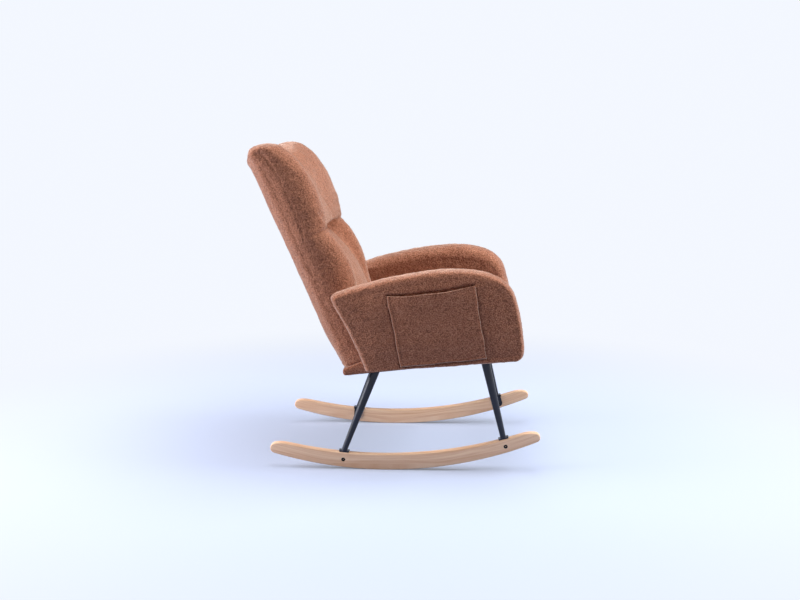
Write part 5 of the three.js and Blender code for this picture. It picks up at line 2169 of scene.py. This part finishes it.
    def _nut(self, frame: Matrix, finishes: Finishes) -> None:
        """Builds the sleeve nut let into the rocker's outer face.

        Args:
            frame: The bracket's frame.
            finishes: The chair's finishes.
        """
        outer = self.half - self.nut_recess
        start = self.half - self.nut_length
        profile = [
            (0.0, start), (self.nut_radius, start), (self.nut_radius, outer - self.nut_head),
            (self.head_radius, outer - self.nut_head), (self.head_radius, outer - self.nut_rim),
            (self.head_radius - self.nut_rim, outer), (0.0, outer),
        ]
        socket = (outer - self.socket_depth, outer + self.socket_depth)
        nut = self._fixing(self._named("foot_nut"), profile, frame, socket)
        seat_on(nut, finishes, "zinc_steel", self._named("sleeve_nut"))


class Undercarriage:
    """Both rockers and the four legs."""

    def __init__(self) -> None:
        """Sets out the rockers and the legs."""
        places = {End.REAR: (-0.006, 0.119), End.FRONT: (-0.338, -0.365)}
        self.rockers = [Rocker(side) for side in Side]
        self.feet = [Foot(rocker, end, *places[end]) for rocker in self.rockers for end in places]

    def build(self, stance: Stance, finishes: Finishes) -> None:
        """Builds everything under the seat.

        Args:
            stance: The chair's frames of reference.
            finishes: The chair's finishes.
        """
        datum = stance.datum()
        for rocker in self.rockers:
            feet = [foot.frame(datum) for foot in self.feet if foot.rocker is rocker]
            rocker.build(datum, finishes, feet)
        for foot in self.feet:
            foot.build(stance, finishes)


class InnerFrame:
    """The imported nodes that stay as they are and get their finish."""

    STARTS = {
        "softwood": (
            "seat_side_rail", "seat_front_rail", "seat_rear_rail", "seat_spring_rail", "leg_rail",
            "arm_board", "back_stile", "back_rail",
        ),
        "webbing": ("back_strap",),
        "black_steel": ("back_bracket", "leg_plate"),
        "zinc_steel": ("arm_bolt",),
        "spring_steel": ("seat_spring_1", "seat_spring_2", "seat_spring_3", "seat_spring_4"),
        "dust_cloth": ("dust_cover",),
    }

    def dress(self, nodes: dict[str, bpy.types.Object], finishes: Finishes) -> None:
        """Gives each node that stays its finish.

        Args:
            nodes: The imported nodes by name.
            finishes: The chair's finishes.
        """
        for slot, starts in self.STARTS.items():
            for start in starts:
                for node in filter(lambda name: name.startswith(start), nodes):
                    finishes.dress(nodes[node], slot)
                    LOG.info("%s: %s", node, slot)


@dataclass(frozen=True)
class Softbox:
    """A square soft light."""

    name: str
    place: tuple[float, float, float]
    size: float
    watts: float
    tint: Colour

    def build(self, aim: Vector) -> None:
        """Adds the light.

        Args:
            aim: The point that it faces.
        """
        data = bpy.data.lights.new(self.name, "AREA")
        data.shape = "RECTANGLE"
        data.size = data.size_y = self.size
        data.energy = self.watts
        data.color = self.tint
        lamp = bpy.data.objects.new(self.name, data)
        bpy.context.scene.collection.objects.link(lamp)
        lamp.location = self.place
        lamp.rotation_mode = "QUATERNION"
        lamp.rotation_quaternion = (aim - Vector(self.place)).to_track_quat("-Z", "Y")


@dataclass
class Studio:
    """Camera, pale floor and soft lights."""

    lens: float = 44.325
    sensor: float = 36.0
    eye: tuple[float, float, float] = (-3.111, -0.1635, 1.030)
    pitch: float = math.atan(0.17612)
    turn: float = 0.0529
    floor_colour: Colour = (0.725, 0.778, 0.899)
    sky_colour: Colour = (0.955, 0.97, 1.0)
    ambient: float = 0.11
    bounce: float = 0.8
    aim: tuple[float, float, float] = (0.0, 0.0, 0.5)
    softboxes: tuple[Softbox, ...] = (
        Softbox("front", (-0.1, -2.6, 1.8), 1.6, 101.0, (1.0, 0.99, 0.965)),
        Softbox("rear", (-0.5, 2.7, 1.4), 1.6, 112.0, (1.0, 0.965, 0.96)),
        Softbox("top", (-0.1, -0.1, 3.1), 2.0, 69.0, (1.0, 0.99, 0.98)),
    )

    def build(self) -> None:
        """Sets up the whole studio."""
        self._camera()
        self._floor()
        self._sky()
        for softbox in self.softboxes:
            softbox.build(Vector(self.aim))
        bpy.context.scene.view_settings.view_transform = "Standard"

    def _camera(self) -> None:
        """The camera at the photograph's angle."""
        yaw = math.atan(self.turn * math.cos(self.pitch))
        level = math.cos(self.pitch)
        way = Vector((math.cos(yaw) * level, math.sin(yaw) * level, -math.sin(self.pitch)))
        data = bpy.data.cameras.new("camera")
        data.lens = self.lens
        data.sensor_width = self.sensor
        data.clip_end = 50.0
        camera = bpy.data.objects.new("camera", data)
        bpy.context.scene.collection.objects.link(camera)
        camera.location = self.eye
        camera.rotation_mode = "QUATERNION"
        camera.rotation_quaternion = way.to_track_quat("-Z", "Y")
        bpy.context.scene.camera = camera

    def _floor(self) -> None:
        """A wide plain floor."""
        shape = bmesh.new()
        bmesh.ops.create_grid(shape, x_segments=1, y_segments=1, size=14.0)
        floor = add_object("floor", shape)
        material = bpy.data.materials.new("floor")
        kit = NodeKit.emptied(material)
        path = kit.add("ShaderNodeLightPath")
        plain = linear(self.floor_colour)
        dim = (*(self.bounce * share for share in plain), 1.0)
        values = {0: path.outputs["Is Camera Ray"], 6: dim, 7: (*plain, 1.0)}
        colour = kit.add("ShaderNodeMix", values, data_type="RGBA")
        matt = kit.add("ShaderNodeBsdfDiffuse", {"Color": colour.outputs[2]})
        sky = (*linear(self.sky_colour), 1.0)
        pale = kit.add("ShaderNodeEmission", {"Color": sky, "Strength": 1.0})
        place = kit.add("ShaderNodeTexCoord").outputs["Object"]
        far = kit.add("ShaderNodeVectorMath", {0: place}, operation="LENGTH").outputs["Value"]
        values = {"Value": far, "From Min": 0.5, "From Max": 2.0, "To Min": 0.2, "To Max": 1.0}
        fade = kit.add("ShaderNodeMapRange", values, interpolation_type="SMOOTHSTEP")
        seen = kit.math("MAXIMUM", path.outputs["Is Camera Ray"], path.outputs["Is Glossy Ray"])
        seen = kit.math("MULTIPLY", seen, fade.outputs["Result"])
        mix = kit.add("ShaderNodeMixShader", {0: seen, 1: matt.outputs[0], 2: pale.outputs[0]})
        output = kit.add("ShaderNodeOutputMaterial")
        kit.link(mix.outputs[0], output, "Surface")
        floor.data.materials.append(material)

    def _sky(self) -> None:
        """A pale background for the camera over a dimmer light on the object."""
        world = bpy.data.worlds.new("studio")
        bpy.context.scene.world = world
        kit = NodeKit.emptied(world)
        path = kit.add("ShaderNodeLightPath")
        seen = kit.math("MAXIMUM", path.outputs["Is Camera Ray"], path.outputs["Is Glossy Ray"])
        seen = kit.math("MAXIMUM", seen, path.outputs["Is Transmission Ray"])
        colour = (*linear(self.sky_colour), 1.0)
        light = kit.add("ShaderNodeBackground", {"Color": colour, "Strength": self.ambient})
        shown = kit.add("ShaderNodeBackground", {"Color": colour, "Strength": 1.0})
        mix = kit.add("ShaderNodeMixShader", {0: seen, 1: light.outputs[0], 2: shown.outputs[0]})
        output = kit.add("ShaderNodeOutputWorld")
        kit.link(mix.outputs[0], output, "Surface")


def main() -> None:
    """Builds the whole chair and its studio."""
    logging.basicConfig(level=logging.INFO, format="%(message)s")
    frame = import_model()
    Studio().build()
    stance = Stance()
    finishes = Finishes()
    WingBack().build(stance, finishes)
    for side in Side:
        arm = Arm(side)
        arm.build(stance, finishes)
        Pocket(arm).build(stance, finishes)
    SeatCushion().build(stance, finishes)
    SeatBorder().build(stance, finishes)
    Undercarriage().build(stance, finishes)
    InnerFrame().dress(frame["nodes"], finishes)


if __name__ == "__main__":
    main()
